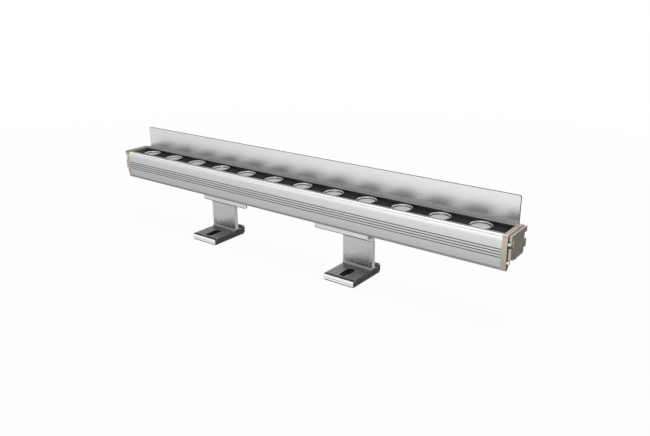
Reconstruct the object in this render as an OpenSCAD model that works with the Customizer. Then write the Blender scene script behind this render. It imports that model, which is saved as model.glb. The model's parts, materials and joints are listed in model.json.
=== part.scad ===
/* [Housing] */
// Length of the extruded housing between the end caps
body_length = 484; // [360:1:700]
// Depth of the housing, from its front face to its rear face
body_depth = 34; // [30:0.5:42]
// Height of the front face, from the top to the foot of the apron
body_height = 32; // [31:0.5:38]
// Depth of the underside behind the apron, measured from the top
underside_depth = 24.4; // [24:0.1:26]
// Thickness of the front wall below the lens panel
front_wall = 4.6; // [4:0.1:5.4]
// Width of the lip in front of the lens panel
lip_width = 3.2; // [2.4:0.1:3.8]
// Width of the flat ledge behind the lens panel
ledge_width = 7.4; // [7:0.1:8]
// Width of the step that the panel rests on at the rear
rear_step = 1.4; // [1:0.1:1.8]
// Depth of the cavity floor below the top
floor_depth = 14.7; // [14.5:0.1:15.4]
// Thickness of the floor over the rail channel
floor_thick = 3.5; // [3.2:0.1:3.6]
// Thickness of the apron that hides the rail
apron_thick = 5.6; // [5:0.1:6]
// Radius of the rounded top edge of the front face
edge_radius = 1.6; // [0.6:0.1:2]
// Radius of the slight bow of the front face
bow_radius = 150; // [120:5:400]
// Radius at the back of the foot of the apron
apron_radius = 4; // [1:0.1:4.5]
// Depth of the first fine groove below the top
groove_start = 12.8; // [11.5:0.1:14]
// Distance between the fine grooves
groove_pitch = 2.5; // [1.5:0.1:2.8]
// Number of fine grooves
groove_count = 4; // [1:1:4]
// Width of a fine groove
groove_width = 0.8; // [0.4:0.1:1.2]
// Depth of a fine groove
groove_depth = 0.9; // [0.2:0.1:1.2]
// Height of the set back band at the foot of the apron
nose_height = 2.5; // [1:0.1:3]
// How far the band at the foot of the apron is set back
nose_step = 0.7; // [0.2:0.1:1.2]
// Width of the hollow in the rear wall
chamber_width = 4.6; // [3:0.1:5]
// Height of the hollow in the rear wall
chamber_height = 7.4; // [4:0.1:8]

/* [Rail channel] */
// Distance of the rail's middle plane behind the front face
rail_offset = 13.4; // [13.3:0.1:13.8]
// Width of the mouth between the lips of the channel
rail_mouth = 12.2; // [11:0.1:12.6]
// Width of the undercut above the lips
rail_head_width = 16.4; // [15:0.1:16.6]
// Height of the undercut above the lips
rail_head_height = 3; // [2.6:0.1:3.4]
// Height of the lips
rail_lip_height = 6.4; // [5.8:0.1:7]
// Thickness of the rib that forms the rear lip
rail_rib = 4.6; // [3.5:0.1:5.5]

/* [End caps] */
// Thickness of the flange of an end cap
flange_thick = 4.8; // [3.6:0.1:6]
// Thickness of the raised block on an end cap, with its gap
block_thick = 3.2; // [3:0.1:5]
// How far the block is set in from the front and rear of the flange
block_inset = 1; // [0.6:0.1:2]
// Height of the block
block_height = 23.2; // [22.6:0.1:23.6]
// Width of the dark gap between flange and block
gap_width = 0.9; // [0.5:0.1:1.4]
// Depth of the dark gap between flange and block
gap_depth = 1; // [0.4:0.1:1.4]
// Diagonal cut at the lower rear corner of the block
block_chamfer = 2.2; // [0.5:0.1:3]
// Height of the notches that clear the screw heads
notch_height = 6.4; // [5.6:0.1:7]
// Depth of the notches that clear the screw heads
notch_depth = 5; // [5:0.1:6]
// Thickness of an end gasket
gasket_thick = 1; // [0.6:0.1:1.4]

/* [Glare shield] */
// Height of the shield above the top of the housing
shield_rise = 24.7; // [10:0.1:60]
// Thickness of the shield
shield_thick = 2; // [1.8:0.1:3]
// How far the shield laps down over the rear face
shield_lap = 7.2; // [6.6:0.1:7.4]
// Number of shield screws
shield_screw_count = 5; // [2:1:8]

/* [Optics] */
// Number of lenses
lens_count = 12; // [6:1:12]
// Distance from an end of the housing to the middle of the first lens
row_margin = 25.85; // [24:0.05:40]
// Strip of panel in front of a lens and behind it
lens_margin = 1.35; // [1.3:0.05:2.5]
// Thickness of the rim of a lens
lens_rim = 1.2; // [0.8:0.1:1.6]
// Depth of the panel's face below the top of the housing
panel_recess = 2.2; // [1.8:0.1:2.6]
// Thickness of the lens panel
panel_thick = 1.5; // [1:0.1:1.8]
// Thickness of the LED board
board_thick = 1.6; // [1:0.1:2]
// Thickness of the thermal pad under the board
pad_thick = 0.5; // [0.3:0.1:1]

/* [Brackets] */
// Height from the ground to the top of the housing
stand_height = 77.5; // [74:0.5:110]
// Depth of the bead's axis below the top of the housing
bead_drop = 34.2; // [34:0.1:36]
// Diameter of the round bead on a foot
bead_d = 8.4; // [7.8:0.1:8.8]
// Width of a foot along the housing
foot_width = 35; // [24:0.5:50]
// Reach of the foot plate in front of the bead's axis
foot_reach = 34.8; // [32:0.1:50]
// Reach of the foot plate behind the bead's axis
foot_heel = 12.4; // [11:0.1:20]
// Thickness of the foot plate
plate_thick = 6.2; // [5:0.1:7]
// Thickness of the web of a foot
web_thick = 4.6; // [3.6:0.1:5.2]
// Length of the slot in a foot, end to end
slot_length = 19.2; // [12:0.1:22]
// Width of the slot in a foot
slot_width = 8.6; // [5:0.1:9]
// Distance of the slot's middle in front of the bead's axis
slot_offset = 19.9; // [18:0.1:20.5]
// Length of a rail clip
clip_length = 64; // [58:1:80]
// Width of the lower part of a rail clip
clip_width = 14; // [13:0.1:14.6]
// Place of the left clip's middle along the housing, left of the centre
clip_left_place = 87.8; // [60:0.1:120]
// Place of the right clip's middle along the housing, right of the centre
clip_right_place = 72.9; // [60:0.1:120]
// Place of the left foot's middle, left of the left clip's middle
foot_left_shift = 6.7; // [0:0.1:14]
// Place of the right foot's middle, right of the right clip's middle
foot_right_shift = 17.6; // [0:0.1:20]

/* [Hidden] */
$fn = 48;
overrun = 1;
seat_gap = 0.2;
running_gap = 0.08;
screw_gap = 0.06;

// Places across the section, measured back from the front face and down from the top
panel_front = lip_width;
panel_back = body_depth - ledge_width;
cavity_back = panel_back - rear_step;
panel_under = panel_recess + panel_thick;
rail_roof = floor_depth + floor_thick;
rail_lip_top = rail_roof + rail_head_height;
rail_lip_foot = rail_lip_top + rail_lip_height;
rib_back = rail_offset + rail_mouth / 2 + rail_rib;
rib_radius = rail_rib / 3;
bow_drop = 11.5;
bow_reach = 4;
bow_edge_x = bow_radius - sqrt(pow(bow_radius - edge_radius, 2) - pow(bow_drop - edge_radius, 2));
bow_edge_y = bow_drop - (bow_drop - edge_radius) * bow_radius / (bow_radius - edge_radius);
bow_foot = bow_radius - sqrt(pow(bow_radius, 2) - pow(body_height - nose_height - bow_drop, 2));
lip_bead = 0.8;
lip_groove_w = 0.5;
lip_groove_place = lip_width - lip_bead - lip_groove_w;
lip_groove_depth = 0.4;
lens_middle = (panel_front + panel_back) / 2;
rear_wall = body_depth - cavity_back;

// Screw ports of the housing: back from the front face, down from the top
port_r = 1.2;
port_boss_r = 2.6;
port_front = 2.9;
port_rear_margin = 3.3;
port_back = body_depth - port_rear_margin;
port_upper = 8;
port_front_margin = 0.1;
port_lower_front = underside_depth - port_front_margin;
port_lower_margin = 2.8;
port_lower_back = underside_depth - port_lower_margin;
PORTS = [[port_front, port_upper], [port_front, port_lower_front],
         [port_back, port_upper], [port_back, port_lower_back]];
port_depth = 14;
cap_head_r = 2.4;
cap_head_h = 2.2;
chamber_wall = (rear_wall - chamber_width) / 2;
chamber_top = (port_upper + port_lower_back - chamber_height) / 2;

// Seat of an end gasket round the mouth of the cavity
gasket_front_seat = 1.2;
gasket_rear_seat = 2.6;
gasket_floor_seat = 2;

// Shield and its screws
shield_length = body_length - seat_gap;
shield_corner = 1.6;
shield_screw_drop = 3.6;
shield_screw_r = 1.5;
shield_screw_head_r = 2.8;
shield_screw_head_h = 1.5;
shield_screw_depth = 4.6;
shield_screw_margin = 32;
shield_screw_pitch = (shield_length - 2 * shield_screw_margin) / (shield_screw_count - 1);

// Optics, measured down from the top
lens_pitch = (body_length - 2 * row_margin) / (lens_count - 1);
lens_r = (panel_back - panel_front) / 2 - lens_margin;
lens_rim_seat = 0.6;
lens_hole_r = lens_r - lens_rim_seat;
lens_skirt_r = lens_hole_r - seat_gap;
lens_foot_r = 3.6;
lens_taper = 2.45;
lens_knee_r = lens_skirt_r - lens_taper;
lens_knee_drop = 3.6;
lens_rim_round = 0.4;
lens_rim_w = 1.2;
lens_face_margin = 1.95;
lens_face_drop = 1.9;
lens_face_r = lens_r - lens_face_margin;
dome_rise = 0.5;
board_top = floor_depth - pad_thick - board_thick;
led_side = 3.45;
led_base_h = 0.9;
led_dome_r = 1.3;
holder_seat_h = 0.6;
holder_seat_r = 2.9;
holder_wall = 1;
lens_foot = board_top - holder_seat_h;
lens_knee = panel_under + lens_knee_drop;
lens_well_r = 2.7;
lens_well = 3;
holder_r = lens_knee_r + seat_gap + holder_wall;
board_gap = 0.4;
board_margin = 4;
board_rim = 0.5;
board_left = lens_pitch * (lens_count - 1) / 2 + holder_r + board_rim;
board_right = body_length / 2 - board_margin;
regulator_l = 4.9;
regulator_w = 3.9;
regulator_h = 1;
regulator_back = 3.4;
terminal_l = 6;
terminal_w = 7.5;
terminal_h = 2.6;
potting_h = 1.8;
board_screw_r = 1.5;
board_screw_head_r = 2.6;
board_screw_head_h = 1.2;
board_screw_floor = 0.7;
board_screw_depth = floor_thick - board_screw_floor;

// Cable gland in the rear wall near the left end, and the relief in the floor in front of it
gland_margin = 9.5;
gland_place = body_length / 2 - gland_margin;
gland_drop = 13.6;
gland_thread_r = 4;
gland_hex_r = 6;
gland_hex_h = 3;
gland_neck_h = 4;
gland_cap_r = 5.4;
gland_cap_h = 5.6;
gland_lip = 1.2;
cable_r = 2.6;
cable_relief = 12;
seal_r = 3.4;

// Rail clip, measured from the bead's axis
bead_r = bead_d / 2;
clip_under = 4.9;
clip_mouth = 6.8;
clip_flare = 0.9;
clip_shoulder = bead_drop - rail_lip_foot - 2 * seat_gap;
clip_head_foot = bead_drop - rail_lip_top + seat_gap;
clip_head_top = bead_drop - rail_roof - seat_gap;
clip_neck = rail_mouth - 2 * seat_gap;
clip_head = rail_head_width - 2 * seat_gap;
lock_screw_r = 2;
lock_screw_length = 8;
lock_screw_margin = 6;
tilt_screw_place = 15;
tilt_screw_length = 4;
hex_key_r = 1.15;
hex_key_depth = 2;

// Foot, with its bead's axis over zero
bead_height = stand_height - bead_drop;
neck_thick = 2.8;
neck_free = 2.4;
neck_foot = bead_height - clip_under - neck_free;
root_radius = 2.4;
heel_radius = 3.2;
hook_rise = 3.4;
hook_thick = 3;
rib_groove_r = 0.5;
edge_round = 1.4;
tooth_count = 9;
tooth_depth = 0.6;

// Frame of the part: the middle of its outline on the ground
rear_reach = body_depth + gland_hex_h + gland_neck_h + gland_cap_h - gland_neck_h / 2;
front_y = (foot_reach - rail_offset - rear_reach) / 2;
axis_y = front_y + rail_offset;

// Rectangle between two depths behind the front face and two drops below the top
module area(front, back, top, foot) {
    translate([front, -foot]) square([back - front, foot - top]);
}

// Piece outside a quarter circle whose corner is at the origin
module corner_waste(r) {
    difference() {
        translate([-overrun, -overrun]) square(r + overrun);
        translate([r, r]) circle(r);
    }
}

// Piece inside the corner of two walls, for a fillet
module corner_fill(r) {
    difference() {
        translate([-overrun / 2, -overrun / 2]) square(r + overrun / 2);
        translate([r, r]) circle(r);
    }
}

// Solid with a section seen along the housing, centred on its length
module along(length) {
    rotate([90, 0, 90]) linear_extrude(length, center = true) children();
}

// Moves a section or solid from the corner of the housing to its place
module at_housing() {
    translate([0, front_y, stand_height]) children();
}

// Middle of a lens, counted from the left from zero, or of a gap between two at a half
module at_row(index) {
    translate([(index - (lens_count - 1) / 2) * lens_pitch, lens_middle, 0]) children();
}

module at_lens(index) {
    at_housing() at_row(index) children();
}

module at_ports() {
    for (port = PORTS) translate([0, port[0], -port[1]]) children();
}

module at_shield_screws() {
    for (i = [0:shield_screw_count - 1])
        translate([shield_screw_margin - shield_length / 2 + i * shield_screw_pitch, 0,
                   -shield_screw_drop]) children();
}

// Board screws stand in every second gap between the lenses
module at_board_screws() {
    for (i = [0:2:lens_count - 2]) at_row(i + 1 / 2) children();
}

// Cross recess for a screwdriver, cut down from the origin
module cross_recess(r, depth) {
    slot = r / 3;
    for (turn = [0, 90]) rotate(turn)
        translate([-r, -slot / 2, -depth]) cube([2 * r, slot, depth + overrun]);
}

// Screw with its head's seat at the origin, pointing down
module pan_screw(head_r, head_h, shank_r, length) {
    difference() {
        union() {
            translate([0, 0, -length]) cylinder(h = length, r = shank_r);
            cylinder(h = head_h * 2 / 3, r = head_r);
            translate([0, 0, head_h * 2 / 3]) cylinder(h = head_h / 3, r1 = head_r, r2 = head_r * 3 / 4);
        }
        translate([0, 0, head_h]) cross_recess(head_r * 3 / 5, head_h / 2);
    }
}

// Headless screw with its key socket at the origin, pointing down
module lock_screw(length) {
    difference() {
        translate([0, 0, -length]) cylinder(h = length, r = lock_screw_r - screw_gap);
        translate([0, 0, -hex_key_depth]) cylinder(h = hex_key_depth + overrun, r = hex_key_r, $fn = 6);
    }
}

// What the bow of the front face and its rounded top edge take off a square corner
module front_bow_waste() {
    difference() {
        area(-overrun, bow_reach, bow_edge_y, body_height + overrun);
        translate([bow_radius, -bow_drop]) circle(bow_radius);
    }
    difference() {
        area(-overrun, bow_edge_x, -overrun, bow_edge_y);
        translate([bow_edge_x, -edge_radius]) circle(edge_radius);
    }
}

module front_grooves() {
    for (i = [0:groove_count - 1])
        translate([0, -groove_start - i * groove_pitch])
            area(-overrun, groove_depth, -groove_width / 2, groove_width / 2);
}

// Fine groove along the top of the front lip
module lip_groove() {
    area(lip_groove_place, lip_groove_place + lip_groove_w, -overrun, lip_groove_depth);
}

module apron_section() {
    difference() {
        area(0, apron_thick, rail_lip_top, body_height);
        translate([apron_thick, -body_height]) mirror([1, 0]) corner_waste(apron_radius);
    }
}

module housing_section() {
    difference() {
        union() {
            area(0, body_depth, 0, underside_depth);
            area(0, rail_offset, rail_lip_top, rail_lip_foot);
            area(rail_offset, rib_back, rail_lip_top, rail_lip_foot);
            apron_section();
            translate([port_front, -port_upper]) circle(port_boss_r);
        }
        area(panel_front, panel_back, -overrun, panel_under);
        difference() {
            area(front_wall, cavity_back, panel_under - overrun, floor_depth);
            translate([port_front, -port_upper]) circle(port_boss_r);
        }
        area(rail_offset - rail_mouth / 2, rail_offset + rail_mouth / 2, rail_roof, rail_lip_foot + overrun);
        area(rail_offset - rail_head_width / 2, rail_offset + rail_head_width / 2, rail_roof, rail_lip_top);
        area(cavity_back + chamber_wall, body_depth - chamber_wall, chamber_top, chamber_top + chamber_height);
        front_bow_waste();
        translate([rib_back, -rail_lip_foot]) mirror([1, 0]) corner_waste(rib_radius);
        area(-overrun, bow_foot + nose_step, body_height - nose_height, body_height + overrun);
        front_grooves();
        lip_groove();
        for (port = PORTS) translate([port[0], -port[1]]) circle(port_r);
    }
}

module housing() {
    color("silver") at_housing() difference() {
        along(body_length) housing_section();
        translate([0, body_depth, 0]) at_shield_screws()
            rotate([90, 0, 0]) cylinder(h = shield_screw_depth + screw_gap, r = shield_screw_r);
        translate([0, 0, -floor_depth]) at_board_screws() translate([0, 0, -board_screw_depth - screw_gap])
            cylinder(h = board_screw_depth + overrun, r = board_screw_r);
        translate([-gland_place, cavity_back - overrun, -gland_drop]) rotate([-90, 0, 0])
            cylinder(h = rear_wall + 2 * overrun, r = gland_thread_r);
        translate([-gland_place, cavity_back - cable_relief, -gland_drop]) rotate([-90, 0, 0])
            cylinder(h = cable_relief, r = cable_r);
    }
}

module shield_face() {
    difference() {
        translate([-shield_length / 2, -shield_lap]) square([shield_length, shield_lap + shield_rise]);
        for (side = [0, 1]) mirror([side, 0]) translate([shield_length / 2, shield_rise])
            rotate(180) corner_waste(shield_corner);
    }
}

module glare_shield() {
    color("gainsboro") at_housing() translate([0, body_depth, 0]) difference() {
        translate([0, shield_thick, 0]) rotate([90, 0, 0]) linear_extrude(shield_thick) shield_face();
        at_shield_screws() translate([0, -overrun, 0]) rotate([-90, 0, 0]) {
            cylinder(h = shield_thick + 2 * overrun, r = shield_screw_r);
            translate([0, 0, overrun + shield_thick - shield_screw_head_h])
                cylinder(h = shield_screw_head_h + screw_gap, r1 = shield_screw_r,
                         r2 = shield_screw_head_r + screw_gap);
        }
    }
}

module shield_screws() {
    shank_r = shield_screw_r - screw_gap;
    color("lightgray") at_housing() translate([0, body_depth + shield_thick, 0]) at_shield_screws()
        rotate([-90, 0, 0]) difference() {
            union() {
                translate([0, 0, -shield_thick - shield_screw_depth])
                    cylinder(h = shield_thick + shield_screw_depth, r = shank_r);
                translate([0, 0, -shield_screw_head_h])
                    cylinder(h = shield_screw_head_h, r1 = shank_r, r2 = shield_screw_head_r);
            }
            cross_recess(shield_screw_head_r / 2, shield_screw_head_h / 2);
        }
}

module lens_panel() {
    color("#1c1c1e") at_housing() difference() {
        translate([-body_length / 2 + seat_gap, panel_front + seat_gap, -panel_under])
            cube([body_length - 2 * seat_gap, panel_back - panel_front - 2 * seat_gap, panel_thick]);
        for (i = [0:lens_count - 1]) at_row(i) translate([0, 0, -panel_under - overrun])
            cylinder(h = panel_thick + 2 * overrun, r = lens_hole_r);
    }
}

// Outline of half a lens: its axis, reflector wall, rim and sunk domed face
module lens_outline() {
    rim_top = -panel_recess + lens_rim;
    face = rim_top - lens_face_drop;
    polygon([[0, -lens_foot + lens_well], [lens_well_r, -lens_foot + lens_well], [lens_well_r, -lens_foot],
             [lens_foot_r, -lens_foot], [lens_knee_r, -lens_knee],
             [lens_skirt_r, -panel_recess], [lens_r, -panel_recess], [lens_r, rim_top - lens_rim_round],
             [lens_r - lens_rim_round, rim_top], [lens_r - lens_rim_w, rim_top], [lens_face_r, face],
             [lens_face_r * 3 / 4, face + dome_rise * 2 / 3], [0, face + dome_rise]]);
}

module lens(index) {
    color("lightcyan", 0.6) at_lens(index) rotate_extrude() lens_outline();
}

// Ring that stands on the board, carries the foot of a lens on its seat and goes up round it
module lens_holder(index) {
    color("#2a2a2c") at_lens(index) rotate_extrude()
        polygon([[holder_seat_r, -board_top], [holder_r, -board_top], [holder_r, -lens_knee],
                 [lens_knee_r + seat_gap, -lens_knee], [lens_foot_r + seat_gap, -lens_foot],
                 [holder_seat_r, -lens_foot]]);
}

module board_area(rise, top) {
    translate([-board_left, front_wall + board_gap, -top - rise])
        cube([board_left + board_right, cavity_back - front_wall - 2 * board_gap, rise]);
}

module led_board() {
    color("white") at_housing() difference() {
        board_area(board_thick, board_top);
        at_board_screws() translate([0, 0, -floor_depth]) cylinder(h = floor_depth, r = board_screw_r);
    }
}

module thermal_pad() {
    color("lightsteelblue") at_housing() difference() {
        board_area(pad_thick, floor_depth - pad_thick);
        at_board_screws() translate([0, 0, -floor_depth - overrun]) cylinder(h = floor_depth, r = board_screw_r);
    }
}

module board_screws() {
    color("lightgray") at_housing() at_board_screws() translate([0, 0, -board_top])
        pan_screw(board_screw_head_r, board_screw_head_h, board_screw_r - screw_gap,
                  board_thick + pad_thick + board_screw_depth);
}

module led_packages() {
    color("khaki") for (i = [0:lens_count - 1]) at_lens(i) translate([0, 0, -board_top]) {
        translate([-led_side / 2, -led_side / 2, 0]) cube([led_side, led_side, led_base_h]);
        translate([0, 0, led_base_h]) intersection() {
            sphere(r = led_dome_r);
            cylinder(h = led_dome_r + overrun, r = led_dome_r + overrun);
        }
    }
}

// The input terminal and the current regulators stand in the gaps that hold no screw
module at_terminal() {
    at_row(3 / 2) translate([-terminal_l / 2, -terminal_w / 2, -board_top]) children();
}

module at_regulators() {
    for (i = [3:2:lens_count - 2]) at_row(i + 1 / 2)
        translate([-regulator_l / 2, regulator_back - regulator_w / 2, -board_top]) children();
}

module current_regulators() {
    color("#202022") at_housing() at_regulators() cube([regulator_l, regulator_w, regulator_h]);
}

module input_terminal() {
    color("ivory") at_housing() at_terminal() difference() {
        cube([terminal_l, terminal_w, terminal_h]);
        for (side = [1, 3]) translate([-overrun, terminal_w * side / 4, terminal_h / 2])
            rotate([0, 90, 0]) cylinder(h = terminal_l / 2 + overrun, r = terminal_h / 4);
    }
}

module potting_resin() {
    color("#101012") at_housing() difference() {
        board_area(potting_h, board_top - potting_h);
        for (i = [0:lens_count - 1]) at_row(i) translate([0, 0, -board_top - overrun])
            cylinder(h = potting_h + 2 * overrun, r = holder_r + seat_gap);
        at_board_screws() translate([0, 0, -board_top - overrun])
            cylinder(h = potting_h + 2 * overrun, r = board_screw_head_r + seat_gap);
        at_regulators() cube([regulator_l, regulator_w, regulator_h]);
        at_terminal() translate([-seat_gap, -seat_gap, -overrun])
            cube([terminal_l + 2 * seat_gap, terminal_w + 2 * seat_gap, potting_h + 2 * overrun]);
    }
}

// Outline of an end cap's flange, which covers the section of the housing
module flange_section() {
    difference() {
        union() {
            area(0, body_depth, 0, underside_depth);
            apron_section();
        }
        front_bow_waste();
    }
    difference() {
        area(rib_back - rail_rib, rib_back, rail_lip_top, rail_lip_foot);
        translate([rib_back, -rail_lip_foot]) mirror([1, 0]) corner_waste(rib_radius);
    }
}

// Notch round a screw head, open to the nearer side and, low down, to the foot of the block
module notch_area(port) {
    front = port[0] < body_depth / 2;
    low = port[1] > block_height - notch_height;
    area(front ? -overrun : body_depth - block_inset - notch_depth,
         front ? block_inset + notch_depth : body_depth + overrun,
         port[1] - notch_height / 2, low ? body_height : port[1] + notch_height / 2);
}

// Outline of the raised block, or of the gap behind it where it is drawn in
module block_section(inset) {
    difference() {
        area(block_inset + inset, body_depth - block_inset - inset, inset, block_height - inset);
        translate([body_depth - block_inset - inset, -block_height + inset]) rotate(45)
            square(block_chamfer * sqrt(2), center = true);
        for (port = PORTS) notch_area(port);
    }
}

// End cap for the right end, with its inner face at the origin
module end_cap() {
    difference() {
        union() {
            translate([flange_thick / 2, 0, 0]) along(flange_thick) flange_section();
            translate([flange_thick + gap_width / 2, 0, 0]) along(gap_width) block_section(gap_depth);
            translate([flange_thick + (gap_width + block_thick) / 2, 0, 0])
                along(block_thick - gap_width) block_section(0);
        }
        translate([gasket_thick / 2 - overrun / 2, 0, 0]) along(gasket_thick + overrun)
            gasket_section(0);
        at_ports() rotate([0, 90, 0]) translate([0, 0, -overrun])
            cylinder(h = flange_thick + 2 * overrun, r = port_r);
    }
}

// Outline of an end gasket: a frame round the cavity and its panel
module gasket_section(inset) {
    difference() {
        area(panel_front - gasket_front_seat + inset, cavity_back + gasket_rear_seat - inset,
             panel_recess + inset, floor_depth + gasket_floor_seat - inset);
        for (port = PORTS) translate([port[0], -port[1]]) circle(port_boss_r);
    }
}

module cap_at(side) {
    at_housing() mirror([side < 0 ? 1 : 0, 0, 0]) translate([body_length / 2, 0, 0]) children();
}

module end_cap_at(side) {
    color("#b0a696") cap_at(side) end_cap();
}

module end_gasket(side) {
    color("#303030") cap_at(side) translate([gasket_thick / 2, 0, 0]) along(gasket_thick)
        gasket_section(seat_gap / 2);
}

module cap_screws(side) {
    color("lightgray") cap_at(side) translate([flange_thick, 0, 0]) at_ports() rotate([0, 90, 0])
        pan_screw(cap_head_r, cap_head_h, port_r - screw_gap, port_depth);
}

module at_gland() {
    at_housing() translate([-gland_place, body_depth, -gland_drop]) rotate([-90, 0, 0]) children();
}

module gland_body() {
    color("#202020") at_gland() difference() {
        union() {
            translate([0, 0, -rear_wall]) cylinder(h = rear_wall, r = gland_thread_r - screw_gap);
            cylinder(h = gland_hex_h, r = gland_hex_r, $fn = 6);
            translate([0, 0, gland_hex_h]) cylinder(h = gland_neck_h, r = gland_thread_r);
        }
        translate([0, 0, -rear_wall - overrun]) cylinder(h = rear_wall + gland_hex_h + 2 * overrun, r = cable_r);
        translate([0, 0, gland_hex_h]) cylinder(h = gland_neck_h + overrun, r = seal_r);
    }
}

module gland_seal() {
    color("dimgray") at_gland() translate([0, 0, gland_hex_h]) difference() {
        cylinder(h = gland_neck_h + gland_lip, r = seal_r - screw_gap);
        translate([0, 0, -overrun]) cylinder(h = gland_neck_h + gland_lip + 2 * overrun, r = cable_r);
    }
}

module gland_cap() {
    color("#202020") at_gland() translate([0, 0, gland_hex_h + gland_neck_h / 2]) difference() {
        cylinder(h = gland_cap_h, r = gland_cap_r);
        translate([0, 0, -overrun]) cylinder(h = gland_neck_h / 2 + gland_lip + overrun, r = gland_thread_r + screw_gap);
        cylinder(h = gland_cap_h + overrun, r = cable_r);
    }
}

// Section of a rail clip about the bead's axis
module clip_section() {
    difference() {
        union() {
            translate([-clip_width / 2, -clip_under]) square([clip_width, clip_under + clip_shoulder]);
            translate([-clip_neck / 2, 0]) square([clip_neck, clip_head_top]);
            translate([-clip_head / 2, clip_head_foot]) square([clip_head, clip_head_top - clip_head_foot]);
        }
        circle(bead_r + running_gap);
        translate([-clip_mouth / 2, -clip_under - overrun]) square([clip_mouth, clip_under + overrun]);
        polygon([[-clip_mouth / 2 - clip_flare, -clip_under], [-clip_mouth / 2, -clip_under + clip_flare],
                 [clip_mouth / 2, -clip_under + clip_flare], [clip_mouth / 2 + clip_flare, -clip_under]]);
    }
}

module at_clip(side) {
    place = side < 0 ? -clip_left_place : clip_right_place;
    translate([place, axis_y, bead_height]) children();
}

module at_lock_screws() {
    for (end = [-1, 1]) translate([end * (clip_length / 2 - lock_screw_margin), 0, clip_head_top]) children();
}

module at_tilt_screws() {
    for (end = [-1, 1]) translate([end * tilt_screw_place, bead_r + seat_gap, 0]) rotate([-90, 0, 0]) children();
}

module rail_clip(side) {
    color("gainsboro") at_clip(side) difference() {
        along(clip_length) clip_section();
        at_lock_screws() translate([0, 0, -clip_head_top]) cylinder(h = clip_head_top + overrun, r = lock_screw_r);
        at_tilt_screws() translate([0, 0, -bead_r / 2]) cylinder(h = clip_width, r = lock_screw_r);
    }
}

module clip_lock_screws(side) {
    color("#303030") at_clip(side) at_lock_screws() mirror([0, 0, 1]) lock_screw_from_tip(lock_screw_length);
}

// Headless screw whose flat tip is at the origin, running up to its key socket
module lock_screw_from_tip(length) {
    translate([0, 0, length]) lock_screw(length);
}

module tilt_lock_screws(side) {
    color("#303030") at_clip(side) at_tilt_screws() lock_screw_from_tip(tilt_screw_length);
}

module foot_section() {
    hook_r = hook_thick / 2;
    plate_top = plate_thick;
    difference() {
        union() {
            translate([-foot_reach, 0]) square([foot_reach + foot_heel - hook_thick, plate_top]);
            translate([-web_thick / 2, 0]) square([web_thick, neck_foot]);
            translate([-neck_thick / 2, 0]) square([neck_thick, bead_height]);
            translate([0, bead_height]) circle(bead_r);
            translate([-web_thick / 2, plate_top]) mirror([1, 0]) corner_fill(root_radius);
            translate([web_thick / 2, plate_top]) corner_fill(heel_radius);
            translate([foot_heel - hook_thick, hook_thick]) square([hook_thick, plate_top + hook_rise - hook_thick - hook_r]);
            translate([foot_heel - hook_r, plate_top + hook_rise - hook_r]) circle(hook_r);
            translate([foot_heel - hook_thick, hook_thick]) circle(hook_thick);
        }
        translate([-foot_reach, 0]) corner_waste(edge_round);
        translate([-foot_reach, plate_top]) mirror([0, 1]) corner_waste(edge_round);
        translate([-foot_reach, plate_top / 2]) circle(rib_groove_r);
        for (i = [1:tooth_count])
            translate([-foot_reach + i * (foot_reach + foot_heel - hook_thick) / (tooth_count + 1), 0])
                rotate(45) square(tooth_depth * sqrt(2), center = true);
    }
}

module foot(side) {
    place = side < 0 ? -clip_left_place - foot_left_shift : clip_right_place + foot_right_shift;
    straight = (slot_length - slot_width) / 2;
    color("darkgray") translate([place, axis_y, 0]) difference() {
        along(foot_width) foot_section();
        translate([0, -slot_offset, -overrun]) {
            for (end = [-1, 1]) translate([0, end * straight, 0])
                cylinder(h = plate_thick + 2 * overrun, r = slot_width / 2);
            translate([-slot_width / 2, -straight, 0])
                cube([slot_width, 2 * straight, plate_thick + 2 * overrun]);
        }
    }
}

housing();
glare_shield();
shield_screws();
lens_panel();
for (i = [1:lens_count]) {
    lens(i - 1);
    lens_holder(i - 1);
}
led_board();
led_packages();
current_regulators();
input_terminal();
thermal_pad();
board_screws();
potting_resin();
end_cap_at(-1);  // end_cap_left
end_cap_at(1);  // end_cap_right
end_gasket(-1);  // end_gasket_left
end_gasket(1);  // end_gasket_right
cap_screws(-1);  // cap_screws_left
cap_screws(1);  // cap_screws_right
gland_body();
gland_seal();
gland_cap();
rail_clip(-1);  // rail_clip_left
rail_clip(1);  // rail_clip_right
clip_lock_screws(-1);  // clip_lock_screws_left
clip_lock_screws(1);  // clip_lock_screws_right
tilt_lock_screws(-1);  // tilt_lock_screws_left
tilt_lock_screws(1);  // tilt_lock_screws_right
foot(-1);  // foot_left
foot(1);  // foot_right
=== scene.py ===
"""Looks of the outdoor wall washer light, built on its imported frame.

A silver anodised extrusion carries twelve clear lenses in a black strip, a plain sheet stands
along its rear edge as a glare shield, a champagne cap closes each end, and two adjustable feet
hold it from below. Lengths are metres, and small ones are written as a number times MM.
"""

import json
import logging
import math
from dataclasses import dataclass, field
from enum import Enum
from typing import Any, Callable, Sequence, TypeAlias

import bmesh
import bpy
from mathutils import Matrix, Vector

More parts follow.
